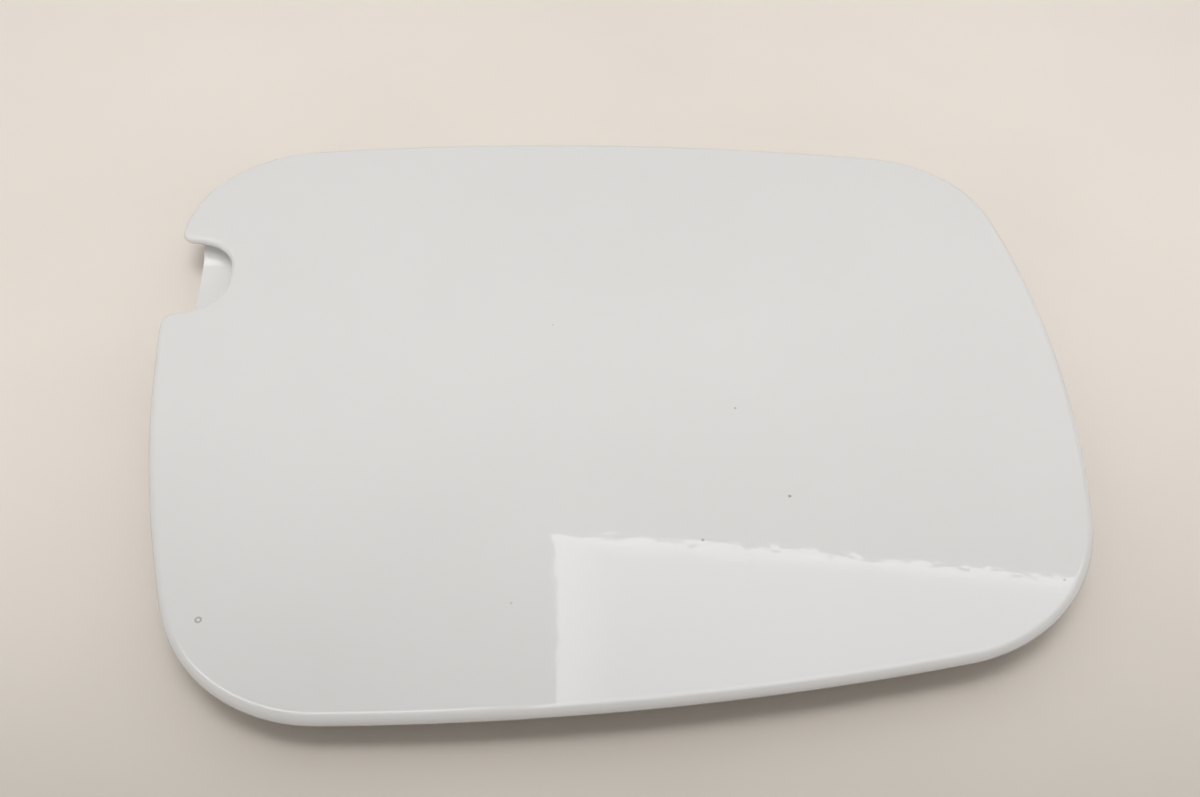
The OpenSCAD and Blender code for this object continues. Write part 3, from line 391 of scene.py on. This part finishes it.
STAR = np.array([30.0, NOTCH_Y - 7.0])
HEM_DROP = 2 * SKIN_T + PANEL_T + 2 * BOND_T
RELIEF_R, RELIEF_RUN, ROLL_LEAD, TIP_W = 21.6, 9.0, 4.0, 0.3
notch_c = np.array([NOTCH_DEPTH / 2 - DOOR_W / 2, NOTCH_Y])
edge_line = door_line(0.0)
inward = door_line(1.0) - edge_line


def smooth(t):
    """Rises from 0 to 1 as 3 t^2 - 2 t^3, flat at both ends."""
    t = np.clip(t, 0.0, 1.0)
    return t * t * (3 - 2 * t)


# Round the notch the return flange is cut back, and the roll is a tighter fold that widens
# before the flange does
from_notch = np.linalg.norm(edge_line - notch_c, axis=1)
hem_share = smooth((from_notch - RELIEF_R) / RELIEF_RUN)
edge_roll = FOLD_R + smooth((from_notch - RELIEF_R + ROLL_LEAD) / RELIEF_RUN) * (ROLL_R - FOLD_R)
seam_line = edge_line + edge_roll[:, None] * inward


def face_rings(shares, drop):
    """Rings of the crowned face: STAR + share * (seam - STAR), set on the crown."""
    spread = STAR + np.asarray(shares)[:, None, None] * (seam_line - STAR)
    return crown(spread, drop)


def roll_rings(depth, angles):
    """Rings of the rolled edge at that depth in the sheet: a circle about the point that
    lies the roll's radius under the seam, at angles from its top outwards."""
    radius = edge_roll - depth
    top = crown(seam_line)[:, 2] - edge_roll
    return np.stack([np.concatenate(
        [edge_line + (edge_roll - radius * math.sin(a))[:, None] * inward,
         (top + radius * math.cos(a))[:, None]], 1) for a in angles])


def flange_rings(shares, depth):
    """Rings of the hem's return flange at that depth in the sheet. Its inset and drop go
    from the roll's end to HEM_W and HEM_DROP. Where it is cut back it keeps TIP_W."""
    rings = []
    for share in shares:
        width = TIP_W * share + hem_share * share * (HEM_W - edge_roll - TIP_W)
        drop = 2 * edge_roll + hem_share * smooth(share / 0.45) * (HEM_DROP - 2 * edge_roll)
        rings.append(crown(edge_line + (edge_roll + width)[:, None] * inward, drop - depth))
    return np.stack(rings)


outer_turn = np.linspace(0, math.pi, 17)[1:]
inner_turn = np.linspace(math.pi, 0, 13)[:-1]
flange_out = np.array([0.15, 0.3, 0.45, 0.7, 0.97, 1.0])
skin_rows = np.concatenate([
    face_rings(np.linspace(0.05, 1.0, 26), 0.0),
    roll_rings(0.0, outer_turn),
    flange_rings(flange_out, 0.0),
    flange_rings(flange_out[::-1], SKIN_T),
    roll_rings(SKIN_T, inner_turn),
    face_rings(np.linspace(1.0, 0.05, 14), SKIN_T)])

# Enamel under clear coat: a sprayed, smooth, hard gloss. The coat keeps the slight
# waviness of sprayed paint, which ripples the edges of what it mirrors.
ORANGE_PEEL_MM = 3.2
ORANGE_PEEL_DEPTH = 0.016
enamel, tree, shader, place = mottled_finish(
    "clear_coated_enamel", "#DCDBDA", "#DAD9D8", 45.0, 0.35, 0.65, 2.0,
    Roughness=0.42, IOR=1.48, Coat_Weight=1.0, Coat_Roughness=0.025, Coat_IOR=1.5)
paint = shader.inputs["Base Color"].links[0].from_socket
# Stone chips and specks of dirt: place in mm, radius in mm, share of the dark colour
for x, y, radius, darkness in [(35.5, -31.7, 0.42, 0.75), (18.4, -42.1, 0.4, 0.6),
                               (26.2, -9.6, 0.32, 0.6), (-17.1, -55.9, 0.3, 0.35),
                               (41.4, -71.5, 0.5, 0.6), (-64.7, -76.7, 0.45, 0.45),
                               (85.4, -49.6, 0.35, 0.5), (-10.8, 13.9, 0.3, 0.3)]:
    away = add_node(tree, "ShaderNodeVectorMath",
                    {"operation": "DISTANCE", 1: tuple(crown(np.array([x, y])))}, _0=place)
    near = add_node(tree, "ShaderNodeMapRange",
                    {"From Min": radius, "From Max": 0.4 * radius, "To Max": darkness},
                    Value=away.outputs["Value"])
    paint = add_node(tree, "ShaderNodeMix", {"data_type": "RGBA", 7: linear("#6F665C")},
                     Factor=near.outputs["Result"], _6=paint).outputs[2]
# The dried rim of a drop, a ring 1 mm across
RIM_PLACE, RIM_R = (-74.1, -58.5), 0.5
away = add_node(tree, "ShaderNodeVectorMath",
                {"operation": "DISTANCE", 1: tuple(crown(np.array(RIM_PLACE)))}, _0=place)
off_rim = add_node(tree, "ShaderNodeMath", {"operation": "SUBTRACT", 1: RIM_R},
                   _0=away.outputs["Value"])
off_rim = add_node(tree, "ShaderNodeMath", {"operation": "ABSOLUTE"}, _0=off_rim.outputs["Value"])
on_rim = add_node(tree, "ShaderNodeMapRange",
                  {"From Min": 0.26, "From Max": 0.1, "To Max": 0.6},
                  Value=off_rim.outputs["Value"])
paint = add_node(tree, "ShaderNodeMix", {"data_type": "RGBA", 7: linear("#77706A")},
                 Factor=on_rim.outputs["Result"], _6=paint).outputs[2]
tree.links.new(paint, shader.inputs["Base Color"])


def relief(tree, shader, place, size_mm, depth_mm, detail=3.0, socket="Normal"):
    """Fine unevenness for that normal socket: bumps about size_mm across and depth_mm high."""
    grain = add_node(tree, "ShaderNodeTexNoise", {"Scale": 1 / size_mm, "Detail": detail},
                     Vector=place)
    bumps = add_node(tree, "ShaderNodeBump", {"Strength": 1.0, "Distance": depth_mm * MM},
                     Height=grain.outputs["Fac"])
    tree.links.new(bumps.outputs["Normal"], shader.inputs[socket])


relief(tree, shader, place, ORANGE_PEEL_MM, ORANGE_PEEL_DEPTH, 1.0, "Coat Normal")
make_piece("painted_skin", *closed_shell(skin_rows), enamel, "door", ["outer_skin"],
           "body_paint")


# Finger cup
# A small scoop of 0.8 mm steel behind the notch, bonded under the skin by its flange and
# cut off straight at its mouth. It has the door's own paint.
CUP_INSET, CUP_DEPTH, CUP_MARGIN, CUP_FLANGE_W, CUP_T = 4.5, 7.4, 2.8, 4.2, 0.8
CUP_POWER = 2.6
mouth = np.array([CUP_INSET - DOOR_W / 2, NOTCH_Y])
RIM_DROP = SKIN_T + BOND_T
cup_floor_z = crown(mouth, RIM_DROP)[2] - CUP_DEPTH


def cup_line(v):
    """Line round the notch, v outside its edge, from the mouth's upper to its lower end."""
    ends = []
    for centre, radius, angle, side in (
            (notch_upper_c, NOTCH_UPPER_R, notch_upper_end, 1),
            (notch_lower_c, NOTCH_LOWER_R, notch_lower_end, -1)):
        touch = centre + (radius + v) * unit(angle)
        along = unit(angle + side * math.pi / 2)
        reach = (mouth[0] - touch[0]) / along[0]
        ends.append(touch + np.linspace(reach, 0, 7, endpoint=False)[:, None] * along)
    arcs = [centre + (radius + v) * unit(np.linspace(a, b, count, endpoint=last))
            for centre, radius, a, b, count, last in (
                (notch_upper_c, NOTCH_UPPER_R, notch_upper_end, NOTCH_FLOOR_ANGLE, 14, False),
                (floor_c, NOTCH_FLOOR_R, NOTCH_FLOOR_ANGLE, -NOTCH_FLOOR_ANGLE, 10, False),
                (notch_lower_c, NOTCH_LOWER_R, -NOTCH_FLOOR_ANGLE, notch_lower_end, 18, True))]
    return np.concatenate([ends[0], *arcs, ends[1][::-1]])


def bowl_ring(v, a, drop):
    """Ring of the bowl at turn a. Its share of the way out is sin(a)^(2/p) and its share
    of the depth left is cos(a)^(2/p), a rounded box for p above 2."""
    share = math.sin(a) ** (2 / CUP_POWER)
    left = math.cos(a) ** (2 / CUP_POWER)
    rim = cup_line(v)
    top = crown(rim, RIM_DROP)[:, 2]
    height = top - left * (top - cup_floor_z) - drop
    return np.concatenate([mouth + share * (rim - mouth), height[:, None]], 1)


turns = np.radians(np.linspace(3, 87, 26))
out_v = CUP_MARGIN + CUP_T
flange_v = np.linspace(CUP_MARGIN, out_v + CUP_FLANGE_W, 6)
cup_rows = np.stack(
    [bowl_ring(CUP_MARGIN, a, 0.0) for a in turns]
    + [crown(cup_line(v), RIM_DROP) for v in flange_v]
    + [crown(cup_line(max(v, out_v)), RIM_DROP + CUP_T) for v in flange_v[:0:-1]]
    + [bowl_ring(out_v, a, CUP_T) for a in turns[::-1]])
cup_rings, cup_count = cup_rows.shape[:2]
poles = np.array([[*mouth, cup_floor_z], [*mouth, cup_floor_z - CUP_T]])
pole = cup_rings * cup_count
# The straight cut edge at the mouth joins ring j to its partner on the sheet's other side
j = np.arange(cup_rings // 2 - 1)
low, high = j * cup_count, (cup_rings - 1 - j) * cup_count
cut = np.stack([low, high, high - cup_count, low + cup_count], -1)
ends = [cut[:, ::-1], cut + cup_count - 1]
floor_cut = np.array([[pole, 0, high[0], pole + 1]])
floor_ends = [floor_cut,
              np.array([[pole + 1, high[0] + cup_count - 1, cup_count - 1, pole]])]
cup_faces = [grid_faces(cup_rings, cup_count, False)[:, ::-1],
             fan_faces(pole, 0, cup_count, False)[:, ::-1],
             fan_faces(pole + 1, high[0], cup_count, False), *ends, *floor_ends]
make_piece("finger_cup_shell", np.concatenate([cup_rows.reshape(-1, 3), poles]),
           cup_faces, enamel, "door", ["finger_cup"], "body_paint")


# Inner panel
# A stiffener pressed from 0.7 mm steel, with a flange in the hem, a trough all round and a
# raised middle. It is hemmed in bare and then painted with the door, thinly and less glossy.
PAN_Z, PLATEAU_RISE = 8.2, 3.5
PANEL_INSET, PANEL_FLANGE_W, PANEL_WALL_RUN = 2.2, 9.0, 4.0
TROUGH_W, PLATEAU_RUN = 22.3, 4.8
PAN_TOP = PAN_Z + PANEL_T
PLATEAU_TOP = PAN_TOP + PLATEAU_RISE
latch_arc = (latch_c, LATCH_EDGE_R,
             angle_of(upper_latch_c - latch_c), angle_of(lower_latch_c - latch_c), True)
pan_line = outline(right_arcs + [latch_arc] + lower_arcs)
trough_u = PANEL_INSET + PANEL_FLANGE_W + PANEL_WALL_RUN
trough_reach = DOOR_W / 2 - trough_u
trough_share = 1 - TROUGH_W / trough_reach
plateau_share = trough_share - PLATEAU_RUN / trough_reach


def pressed_rings(drop):
    """Rings of the pressing from its middle to its flange, drop under its upper side. The
    two walls rise as the curve 3 t^2 - 2 t^3, so that their bends are round."""
    rings = []
    for share in np.concatenate([np.linspace(0.06, plateau_share, 6),
                                 np.linspace(plateau_share, trough_share, 13)[1:],
                                 np.linspace(trough_share, 1.0, 5)[1:]]):
        fall = smooth((share - plateau_share) / (trough_share - plateau_share))
        p = share * pan_line(trough_u)
        rings.append(np.column_stack([p, np.full(len(p), PLATEAU_TOP - PLATEAU_RISE * fall)]))
    for t in np.linspace(0, 1, 12)[1:]:
        p = crown(pan_line(trough_u - PANEL_WALL_RUN * t), SKIN_T + BOND_T)
        p[:, 2] = PAN_TOP + smooth(t) * (p[:, 2] - PAN_TOP)
        rings.append(p)
    for u in np.linspace(PANEL_INSET + PANEL_FLANGE_W, PANEL_INSET, 6)[1:]:
        rings.append(crown(pan_line(u), SKIN_T + BOND_T))
    return np.stack(rings) - [0.0, 0.0, drop]


def lathe(profile, place, steps=40):
    """Turned solid about a line along Z at place. Each (radius, height) of the profile, from
    the top to the bottom, becomes a ring radius * (cos, sin). Its ends are flat."""
    ring = unit(np.linspace(0, 2 * math.pi, steps, endpoint=False))
    profile = np.asarray(profile, float)
    rows = np.concatenate([profile[:, None, :1] * ring,
                           np.repeat(profile[:, None, 1:], steps, 1)], -1)
    return closed_shell(rows + np.asarray(place, float))


def joined(parts):
    """Several (points, faces) as one, the faces' numbers moved on by the points before."""
    starts = np.cumsum([0] + [len(points) for points, _ in parts])
    return (np.concatenate([points for points, _ in parts]),
            [face + start for (_, faces), start in zip(parts, starts) for face in faces])


PIN_INSET, PIN_Z = 6.4, 6.6
PIN_X, PIN_Y = DOOR_W / 2 - PIN_INSET, HINGE_EDGE_Y
RIVET_D, RIVET_FIT, LEAF_RIVET_RUN, LEAF_RIVET_PITCH = 4.0, 0.1, 20.0, 15.0
leaf_rivet_places = [(PIN_X - LEAF_RIVET_RUN, PIN_Y + side * LEAF_RIVET_PITCH)
                     for side in (-1, 0, 1)]
CATCH_X, CATCH_Y, CATCH_W, CATCH_RIVET_RUN = 25.0 - DOOR_W / 2, -2.0, 16.0, 7.0
catch_rivet_places = [(CATCH_X + CATCH_RIVET_RUN, CATCH_Y + side * CATCH_W / 4)
                      for side in (-1, 1)]
BUFFER_X, BUFFER_NECK_R = 33.0 - DOOR_W / 2, 3.0
UPPER_BUFFER_INSET, LOWER_BUFFER_INSET = 23.5, 25.0
buffer_places = [(BUFFER_X, DOOR_H / 2 - UPPER_BUFFER_INSET),
                 (BUFFER_X, LOWER_BUFFER_INSET - DOOR_H / 2)]
HANGER_X, HANGER_Y, HANGER_LEN, HANGER_PEG_R = 4.0, -10.0, 24.0, 2.5
LOCATING_Y, LOCATING_R = -10.0, 4.0
cuts = ([(*mouth, RELIEF_R)]
        + [(*p, (RIVET_D + RIVET_FIT) / 2) for p in leaf_rivet_places + catch_rivet_places]
        + [(*p, BUFFER_NECK_R + RIVET_FIT / 2) for p in buffer_places]
        + [(HANGER_X, HANGER_Y + side * HANGER_LEN / 3, HANGER_PEG_R + RIVET_FIT / 2)
           for side in (-1, 1)]
        + [(side * trough_reach / 2, LOCATING_Y, LOCATING_R) for side in (-1, 1)])
cutter = make_piece("panel_cutter", *joined(
    [lathe([(r, CROWN_Z), (r, 0.0)], (x, y, 0.0), 72) for x, y, r in cuts]), None, None)


def settled(piece):
    """Puts the result of the piece's modifiers into its mesh. Edges sharper than
    30 degrees stay crisp."""
    result = bpy.data.meshes.new_from_object(
        piece.evaluated_get(bpy.context.evaluated_depsgraph_get()))
    piece.modifiers.clear()
    piece.data = result
    result.shade_smooth()
    result.set_sharp_from_angle(angle=math.radians(30.0))


# Enamel sprayed thinly inside: greyer where it is thinnest, with a soft, grainy sheen.
satin, tree, shader, place = mottled_finish(
    "thin_satin_enamel", "#D3D2D0", "#C9C8C5", 22.0, 0.35, 0.7,
    Roughness=0.36, IOR=1.48, Coat_Weight=0.35, Coat_Roughness=0.16)
relief(tree, shader, place, 1.6, 0.006, 2.0)
panel_rows = np.concatenate([pressed_rings(0.0), pressed_rings(PANEL_T)[::-1]])
panel = make_piece("inner_panel_pressing", *closed_shell(panel_rows), satin, "door",
                   ["inner_panel"], "panel_paint")
cut = panel.modifiers.new("cut", "BOOLEAN")
cut.object = cutter
cut.solver = "EXACT"
settled(panel)
bpy.data.objects.remove(cutter)


# Hem sealer
# A bead of grey sealer laid by hand in the corner between the return flange and the inner
# panel. It keeps water out of the hem, and its width wanders a little.
SEALER_W, SEALER_H = 1.35, 1.0
SEALER_SEAT = SKIN_T + BOND_T + PANEL_T + BOND_T / 2
kept = np.flatnonzero(np.linalg.norm(edge_line - notch_c, axis=1) > RELIEF_R + RELIEF_RUN)
kept = np.roll(kept, -1 - int(np.argmax(np.diff(kept))))
run = np.arange(len(kept)) * ARC_STEP
# Two waves in its width, 37 and 12 mm long
wander = 1 + 0.06 * np.sin(run / 5.9) + 0.05 * np.sin(run / 1.9 + 1)
turn = np.linspace(0, math.pi / 2, 8)
bead_in = np.append(0.0, SEALER_W * np.cos(turn))
bead_drop = np.append(0.0, SEALER_H * np.sin(turn))
inset = HEM_W + BOND_T / 2 + wander[:, None] * bead_in
bead = edge_line[kept][:, None] + inset[..., None] * inward[kept][:, None]
bead = crown(bead, SEALER_SEAT + bead_drop)

# Cured sealer is a dull, uneven grey-brown, wavy where the nozzle dragged.
sealer, tree, shader, place = mottled_finish(
    "seam_sealer", "#8F8A80", "#7F7A70", 6.0, Roughness=0.5, IOR=1.5)
relief(tree, shader, place, 1.1, 0.06)
make_piece("sealer_bead", *closed_shell(bead), sealer, "door", ["hem_sealer"], "sealer", 50.0)


# Mastic pads
# Six dabs of soft dark mastic between the raised middle and the skin, which keep the skin
# from drumming. They are squeezed flat and bulge at their sides.
def eased(profile, reach, steps=5):
    """Profile whose inner corners are eased: each becomes the quadratic curve from reach
    before it to reach after it, less where its neighbours are near."""
    p = np.asarray(profile, float)
    before, corner, after = p[:-2], p[1:-1], p[2:]
    ends = []
    for other in (before, after):
        away = other - corner
        length = np.linalg.norm(away, axis=1, keepdims=True)
        ends.append(corner + away / length * np.minimum(reach, 0.45 * length))
    t = np.linspace(0, 1, steps)[None, :, None]
    curve = ((1 - t) ** 2 * ends[0][:, None] + 2 * t * (1 - t) * corner[:, None]
             + t ** 2 * ends[1][:, None])
    return np.concatenate([p[:1], curve.reshape(-1, 2), p[-1:]])


MASTIC_R, MASTIC_BULGE = 7.5, 0.35
DAB_X, DAB_Y, MIDDLE_DAB_Y = 36, 26, 32
dabs = []
for x, y in [(column * DAB_X, side * (DAB_Y if column else MIDDLE_DAB_Y))
             for side in (1, -1) for column in (-1, 0, 1)]:
    far = np.array([abs(x) + MASTIC_R / 2, abs(y) + MASTIC_R / 2])
    high = crown(far, SKIN_T + BOND_T)[2] - PLATEAU_TOP
    dabs.append(lathe(eased([(1.0, high), (MASTIC_R * 2 / 3, high),
                             (MASTIC_R - MASTIC_BULGE, 0.85 * high),
                             (MASTIC_R + MASTIC_BULGE, 0.4 * high), (MASTIC_R, 0.0),
                             (1.0, 0.0)], 0.4), (x, y, PLATEAU_TOP)))
# Filled bitumen mastic is near black and matt, with a lumpy skin.
mastic, tree, shader, place = mottled_finish(
    "damping_mastic", "#3D3B38", "#2F2E2C", 3.0, Roughness=0.8, IOR=1.5)
relief(tree, shader, place, 1.4, 0.12)
make_piece("mastic_dabs", *joined(dabs), mastic, "door", ["mastic_pads"], "mastic")


def refined(name, node, material, body, round_mm):
    """Piece from a CAD node's own mesh: its points merged, its flat faces joined, and its
    sharp edges rounded off by round_mm, as a pressed or moulded edge is."""
    work = bmesh.new()
    work.from_mesh(nodes[node].data)
    work.transform(nodes[node].matrix_world)
    bmesh.ops.remove_doubles(work, verts=work.verts, dist=0.002 * MM)
    bmesh.ops.dissolve_limit(work, angle_limit=math.radians(1.0), verts=work.verts,
                             edges=work.edges)
    mesh = bpy.data.meshes.new(name)
    work.to_mesh(mesh)
    work.free()
    mesh.materials.clear()
    mesh.materials.append(material)
    piece = bpy.data.objects.new(name, mesh)
    bpy.context.scene.collection.objects.link(piece)
    if round_mm:
        edge = piece.modifiers.new("edge", "BEVEL")
        edge.width, edge.segments = round_mm * MM, 3
        edge.limit_method, edge.angle_limit = "ANGLE", math.radians(35.0)
    settled(piece)
    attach(piece, body)
    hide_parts(node)
    return piece


def metal_finish(name, first, second, roughness):
    """Steel whose tint and sheen are cloudy, duller in its second tone, with fine marks of
    rolling or turning. The marks are drawn 0.5 mm wide, coarser than real ones, to show."""
    material, tree, shader, place = mottled_finish(
        name, first, second, 7.0, detail=4.0, broken=0.6,
        sheen=(roughness - 0.06, roughness + 0.08), Metallic=1.0)
    relief(tree, shader, place, 0.5, 0.004)
    return material


# Zinc plate is a light metal grey with a blue cast, its sheen soft and cloudy.
zinc = metal_finish("zinc_plated_steel", "#B4B8BC", "#A3A8AE", 0.36)
refined("hinge_leaf_pressing", "hinge_leaf", zinc, "door", 0.25)
refined("doubler_plate", "hinge_doubler", zinc, "door", 0.2)


# Rivets
# Steel rivets with a domed head below and a formed head above: three hold the leaf and
# two hold the catch. They are plated like the plates.
HEAD_H, LEAF_T, DOUBLER_T = 1.3, 1.5, 1.0


def rivet(place, low, high):
    """Rivet from height low to high. Its lower head is half of an ellipse."""
    r = RIVET_D / 2
    dome = np.linspace(0, math.pi / 2, 9)
    upper = eased([(0.3, high + HEAD_H), (1.4 * r, high + HEAD_H), (1.6 * r, high + 0.7 * HEAD_H),
                   (1.6 * r, high), (r, high), (r, low), (1.8 * r, low)], 0.25, 4)
    lower = np.column_stack([1.8 * r * np.cos(dome), low - HEAD_H * np.sin(dome)])[:-1]
    return lathe(np.concatenate([upper, lower[1:], [(0.2, low - HEAD_H)]]), (*place, 0.0), 32)


make_piece("leaf_rivet_set", *joined(
    [rivet(p, PAN_Z - LEAF_T, PAN_TOP + DOUBLER_T) for p in leaf_rivet_places]),
    zinc, "door", ["leaf_rivets"], "plated_steel")
make_piece("catch_rivet_set", *joined(
    [rivet(p, PAN_Z - LEAF_T, PAN_TOP) for p in catch_rivet_places]),
    zinc, "door", ["catch_rivets"], "plated_steel")


# Hinge bracket
# The fixed half of the hinge: a 1.5 mm foot with two screw holes, a pressed rib, a bridge
# that holds the spring's leg, and two ears of 2 mm for the pin. Zinc plated.
refined("bracket_pressing", "hinge_bracket", zinc, "bracket", 0.2)


# Pin and clip
# A turned steel pin, pushed in from the upper ear until its domed head stops it, and kept
# by a spring steel clip in its groove at the lower end.
EAR_FACE, BRACKET_EAR_T = 25.0, 2.0
PIN_R, PIN_HEAD_R, PIN_HEAD_T = 1.75, 3.0, 1.4
CLIP_T, CLIP_FIT, GROOVE_DEPTH, PIN_TAIL, PIN_CHAMFER = 0.7, 0.15, 0.45, 1.0, 0.4
foot_half = EAR_FACE + BRACKET_EAR_T
groove = foot_half + CLIP_FIT
groove_end = groove + CLIP_T + 2 * CLIP_FIT
core = PIN_R - GROOVE_DEPTH
pin_profile = eased([
    (0.2, foot_half + PIN_HEAD_T), (0.6 * PIN_HEAD_R, foot_half + PIN_HEAD_T),
    (PIN_HEAD_R, foot_half + 0.5 * PIN_HEAD_T), (PIN_HEAD_R, foot_half), (PIN_R, foot_half),
    (PIN_R, -groove), (core, -groove), (core, -groove_end), (PIN_R, -groove_end),
    (PIN_R, PIN_CHAMFER - groove_end - PIN_TAIL),
    (PIN_R - PIN_CHAMFER, -groove_end - PIN_TAIL),
    (0.2, -groove_end - PIN_TAIL)], 0.3, 4)
pin_points, pin_faces = lathe(pin_profile, (0.0, 0.0, 0.0))
# Turned so that its length lies along Y: (x, y, z) goes to (x, z, -y)
pin_points = pin_points[:, [0, 2, 1]] * [1, 1, -1] + [PIN_X, PIN_Y, PIN_Z]
# Turned steel is darker than the plating and smoother, so it has sharper highlights.
bright = metal_finish("turned_pin_steel", "#9EA1A4", "#8D9194", 0.26)
make_piece("turned_pin", pin_points, pin_faces, bright, "bracket", ["hinge_pin"], "pin_steel")

# Hardened and oiled spring steel is a dark grey metal, patchy under its film of oil. Its
# drawing marks are made 0.4 mm wide, coarser than real ones, to show.
oiled, tree, shader, place = mottled_finish(
    "oiled_spring_steel", "#5C5D5F", "#484849", 2.5, Metallic=1.0, Roughness=0.33)
relief(tree, shader, place, 0.4, 0.003, 2.0)
refined("clip_stamping", "pin_clip", oiled, "bracket", 0.08)


# Hinge spring
# A coil of 1 mm oiled spring wire round the pin. Its lower leg lies under the bracket's
# bridge, and its upper leg hooks into a hole in the leaf's ear.
WIRE_R, COIL_R, COILS, COIL_PITCH = 0.5, 2.9, 9, 1.3
BEND_R, LEAF_EAR_OUT = 1.2, 24.0
BRACKET_FOOT_T, FOOT_GAP = 1.5, 0.1
foot_leg = np.array([-12.0, BRACKET_FOOT_T + WIRE_R + FOOT_GAP - PIN_Z])
leaf_leg = np.array([-6.2, -0.2])
foot_angle = angle_of(foot_leg) + math.acos(COIL_R / np.linalg.norm(foot_leg))
leaf_angle = angle_of(leaf_leg) - math.acos(COIL_R / np.linalg.norm(leaf_leg))
coil_turn = 2 * math.pi * (COILS - 1) + (leaf_angle - foot_angle) % (2 * math.pi)
coil_rise = coil_turn / (2 * math.pi) * COIL_PITCH


def spring_line():
    """Middle line of the wire about the pin's axis: a straight leg, the coil at angle
    start + turn * t and height rise * (t - 1/2), a straight leg, a quarter bend into +Y
    and a straight hook. Columns are X, Y, Z."""
    t = np.linspace(0, 1, int(30 * coil_turn / (2 * math.pi)))
    a = foot_angle + coil_turn * t
    coil = np.column_stack([COIL_R * np.cos(a), coil_rise * (t - 0.5), COIL_R * np.sin(a)])
    start = np.array([foot_leg[0], -coil_rise / 2, foot_leg[1]])
    along = np.append(leaf_leg - COIL_R * unit(leaf_angle), 0.0)[[0, 2, 1]]
    along = along / np.linalg.norm(along)
    corner = np.array([leaf_leg[0], coil_rise / 2, leaf_leg[1]])
    b = np.linspace(0, math.pi / 2, 9)[:, None]
    bend = (corner - BEND_R * (1 - np.sin(b)) * along
            + BEND_R * (1 - np.cos(b)) * np.array([0, 1, 0]))
    hook = np.array([leaf_leg[0], LEAF_EAR_OUT - 0.1, leaf_leg[1]])
    legs = [p + np.linspace(0, 1, 9)[1:-1, None] * (q - p)
            for p, q in ((start, coil[0]), (coil[-1], bend[0]), (bend[-1], hook))]
    return np.concatenate([[start], legs[0], coil, legs[1], bend, legs[2], [hook]]), along


def wire(line, along, sides=12):
    """Round wire along a line: rings of WIRE_R across the line's direction, narrower at
    both cut ends. Their first axis is square to Y, or to the leg where the line runs on Y."""
    direction = np.gradient(line, axis=0)
    direction /= np.linalg.norm(direction, axis=1, keepdims=True)
    first = np.cross([0.0, 1.0, 0.0], direction)
    size = np.linalg.norm(first, axis=1, keepdims=True)
    square = np.cross([0.0, 1.0, 0.0], along)
    first = np.where(size > 0.01, first / np.maximum(size, 1e-9), square)
    second = np.cross(direction, first)
    a = np.linspace(0, 2 * math.pi, sides, endpoint=False)[None, :, None]
    radius = np.full((len(line), 1, 1), WIRE_R)
    radius[[0, -1]] *= 0.7
    rings = line[:, None] + radius * (first[:, None] * np.cos(a) + second[:, None] * np.sin(a))
    return rings[::-1] + [PIN_X, PIN_Y, PIN_Z]


spring = make_piece("torsion_spring", *closed_shell(wire(*spring_line())), oiled, None,
                    ["hinge_spring"], "spring_steel", 60.0)
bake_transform(spring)


# Bushes and sleeve
# Flanged bushes of black acetal in the leaf's ears turn on the pin, and a thin sleeve of
# natural nylon keeps the spring's coils off it.
def moulded(name, first, second, roughness, grain_mm, grain_depth):
    """Moulded plastic or rubber with a grained skin and a faint change of tone."""
    material, tree, shader, place = mottled_finish(
        name, first, second, 9.0, Roughness=roughness, IOR=1.5)
    relief(tree, shader, place, grain_mm, grain_depth, 2.0)
    return material


# Acetal is black with a smooth, waxy shine, and nylon is a milky cream.
acetal = moulded("black_acetal", "#242527", "#1C1D1F", 0.38, 0.6, 0.003)
for side in ("upper", "lower"):
    refined(side + "_bush_moulding", side + "_bush", acetal, "door", 0.12)
nylon = moulded("natural_nylon", "#E3DFD1", "#D8D3C3", 0.42, 0.8, 0.003)
refined("sleeve_tube", "spring_sleeve", nylon, "bracket", 0.06)


# Stop pads and buffers
# Soft black rubber: two pads on the bracket's foot that the leaf's lugs meet when the door
# is open, and two buffers pushed through the trough that the closed door rests on.
# Moulded rubber is a matt, slightly grey black with a fine grain.
rubber = moulded("soft_black_rubber", "#232425", "#1A1B1C", 0.7, 0.5, 0.012)
refined("stop_pads", "stop_pad", rubber, "bracket", 0.25)
BUFFER_R, BARB_H, BARB_GRIP, BUFFER_ROUND = 5.5, 3.0, 1.1, 0.5
for side, place in zip(("upper", "lower"), buffer_places):
    profile = eased([(0.3, PAN_TOP + BARB_H), (BUFFER_NECK_R - 1.0, PAN_TOP + BARB_H),
                     (BUFFER_NECK_R + BARB_GRIP, PAN_TOP + 0.5), (BUFFER_NECK_R, PAN_TOP),
                     (BUFFER_NECK_R, PAN_Z), (BUFFER_R - 0.4, PAN_Z), (BUFFER_R, 2.0),
                     (BUFFER_R - 0.6, 0.6), (BUFFER_R - 2.0, 0.0), (0.3, 0.0)], BUFFER_ROUND)
    make_piece(side + "_buffer_moulding", *lathe(profile, (*place, 0.0), 56), rubber, "door",
               [side + "_buffer"], "rubber")


# Catch and cap hanger
# The catch is a zinc-plated angle whose eye takes the lock pin. The cap hanger is a black
# grained moulding with two lipped rails, pegged under the raised middle.
refined("catch_pressing", "catch_plate", zinc, "door", 0.25)
# Spark-eroded grain on black plastic breaks its shine up into a dull gleam. The grain is
# drawn 0.35 mm wide, about twice as coarse as a real one, to show.
grained = moulded("grained_black_plastic", "#2A2B2D", "#222325", 0.55, 0.35, 0.02)
refined("hanger_moulding", "cap_hanger", grained, "door", 0.3)
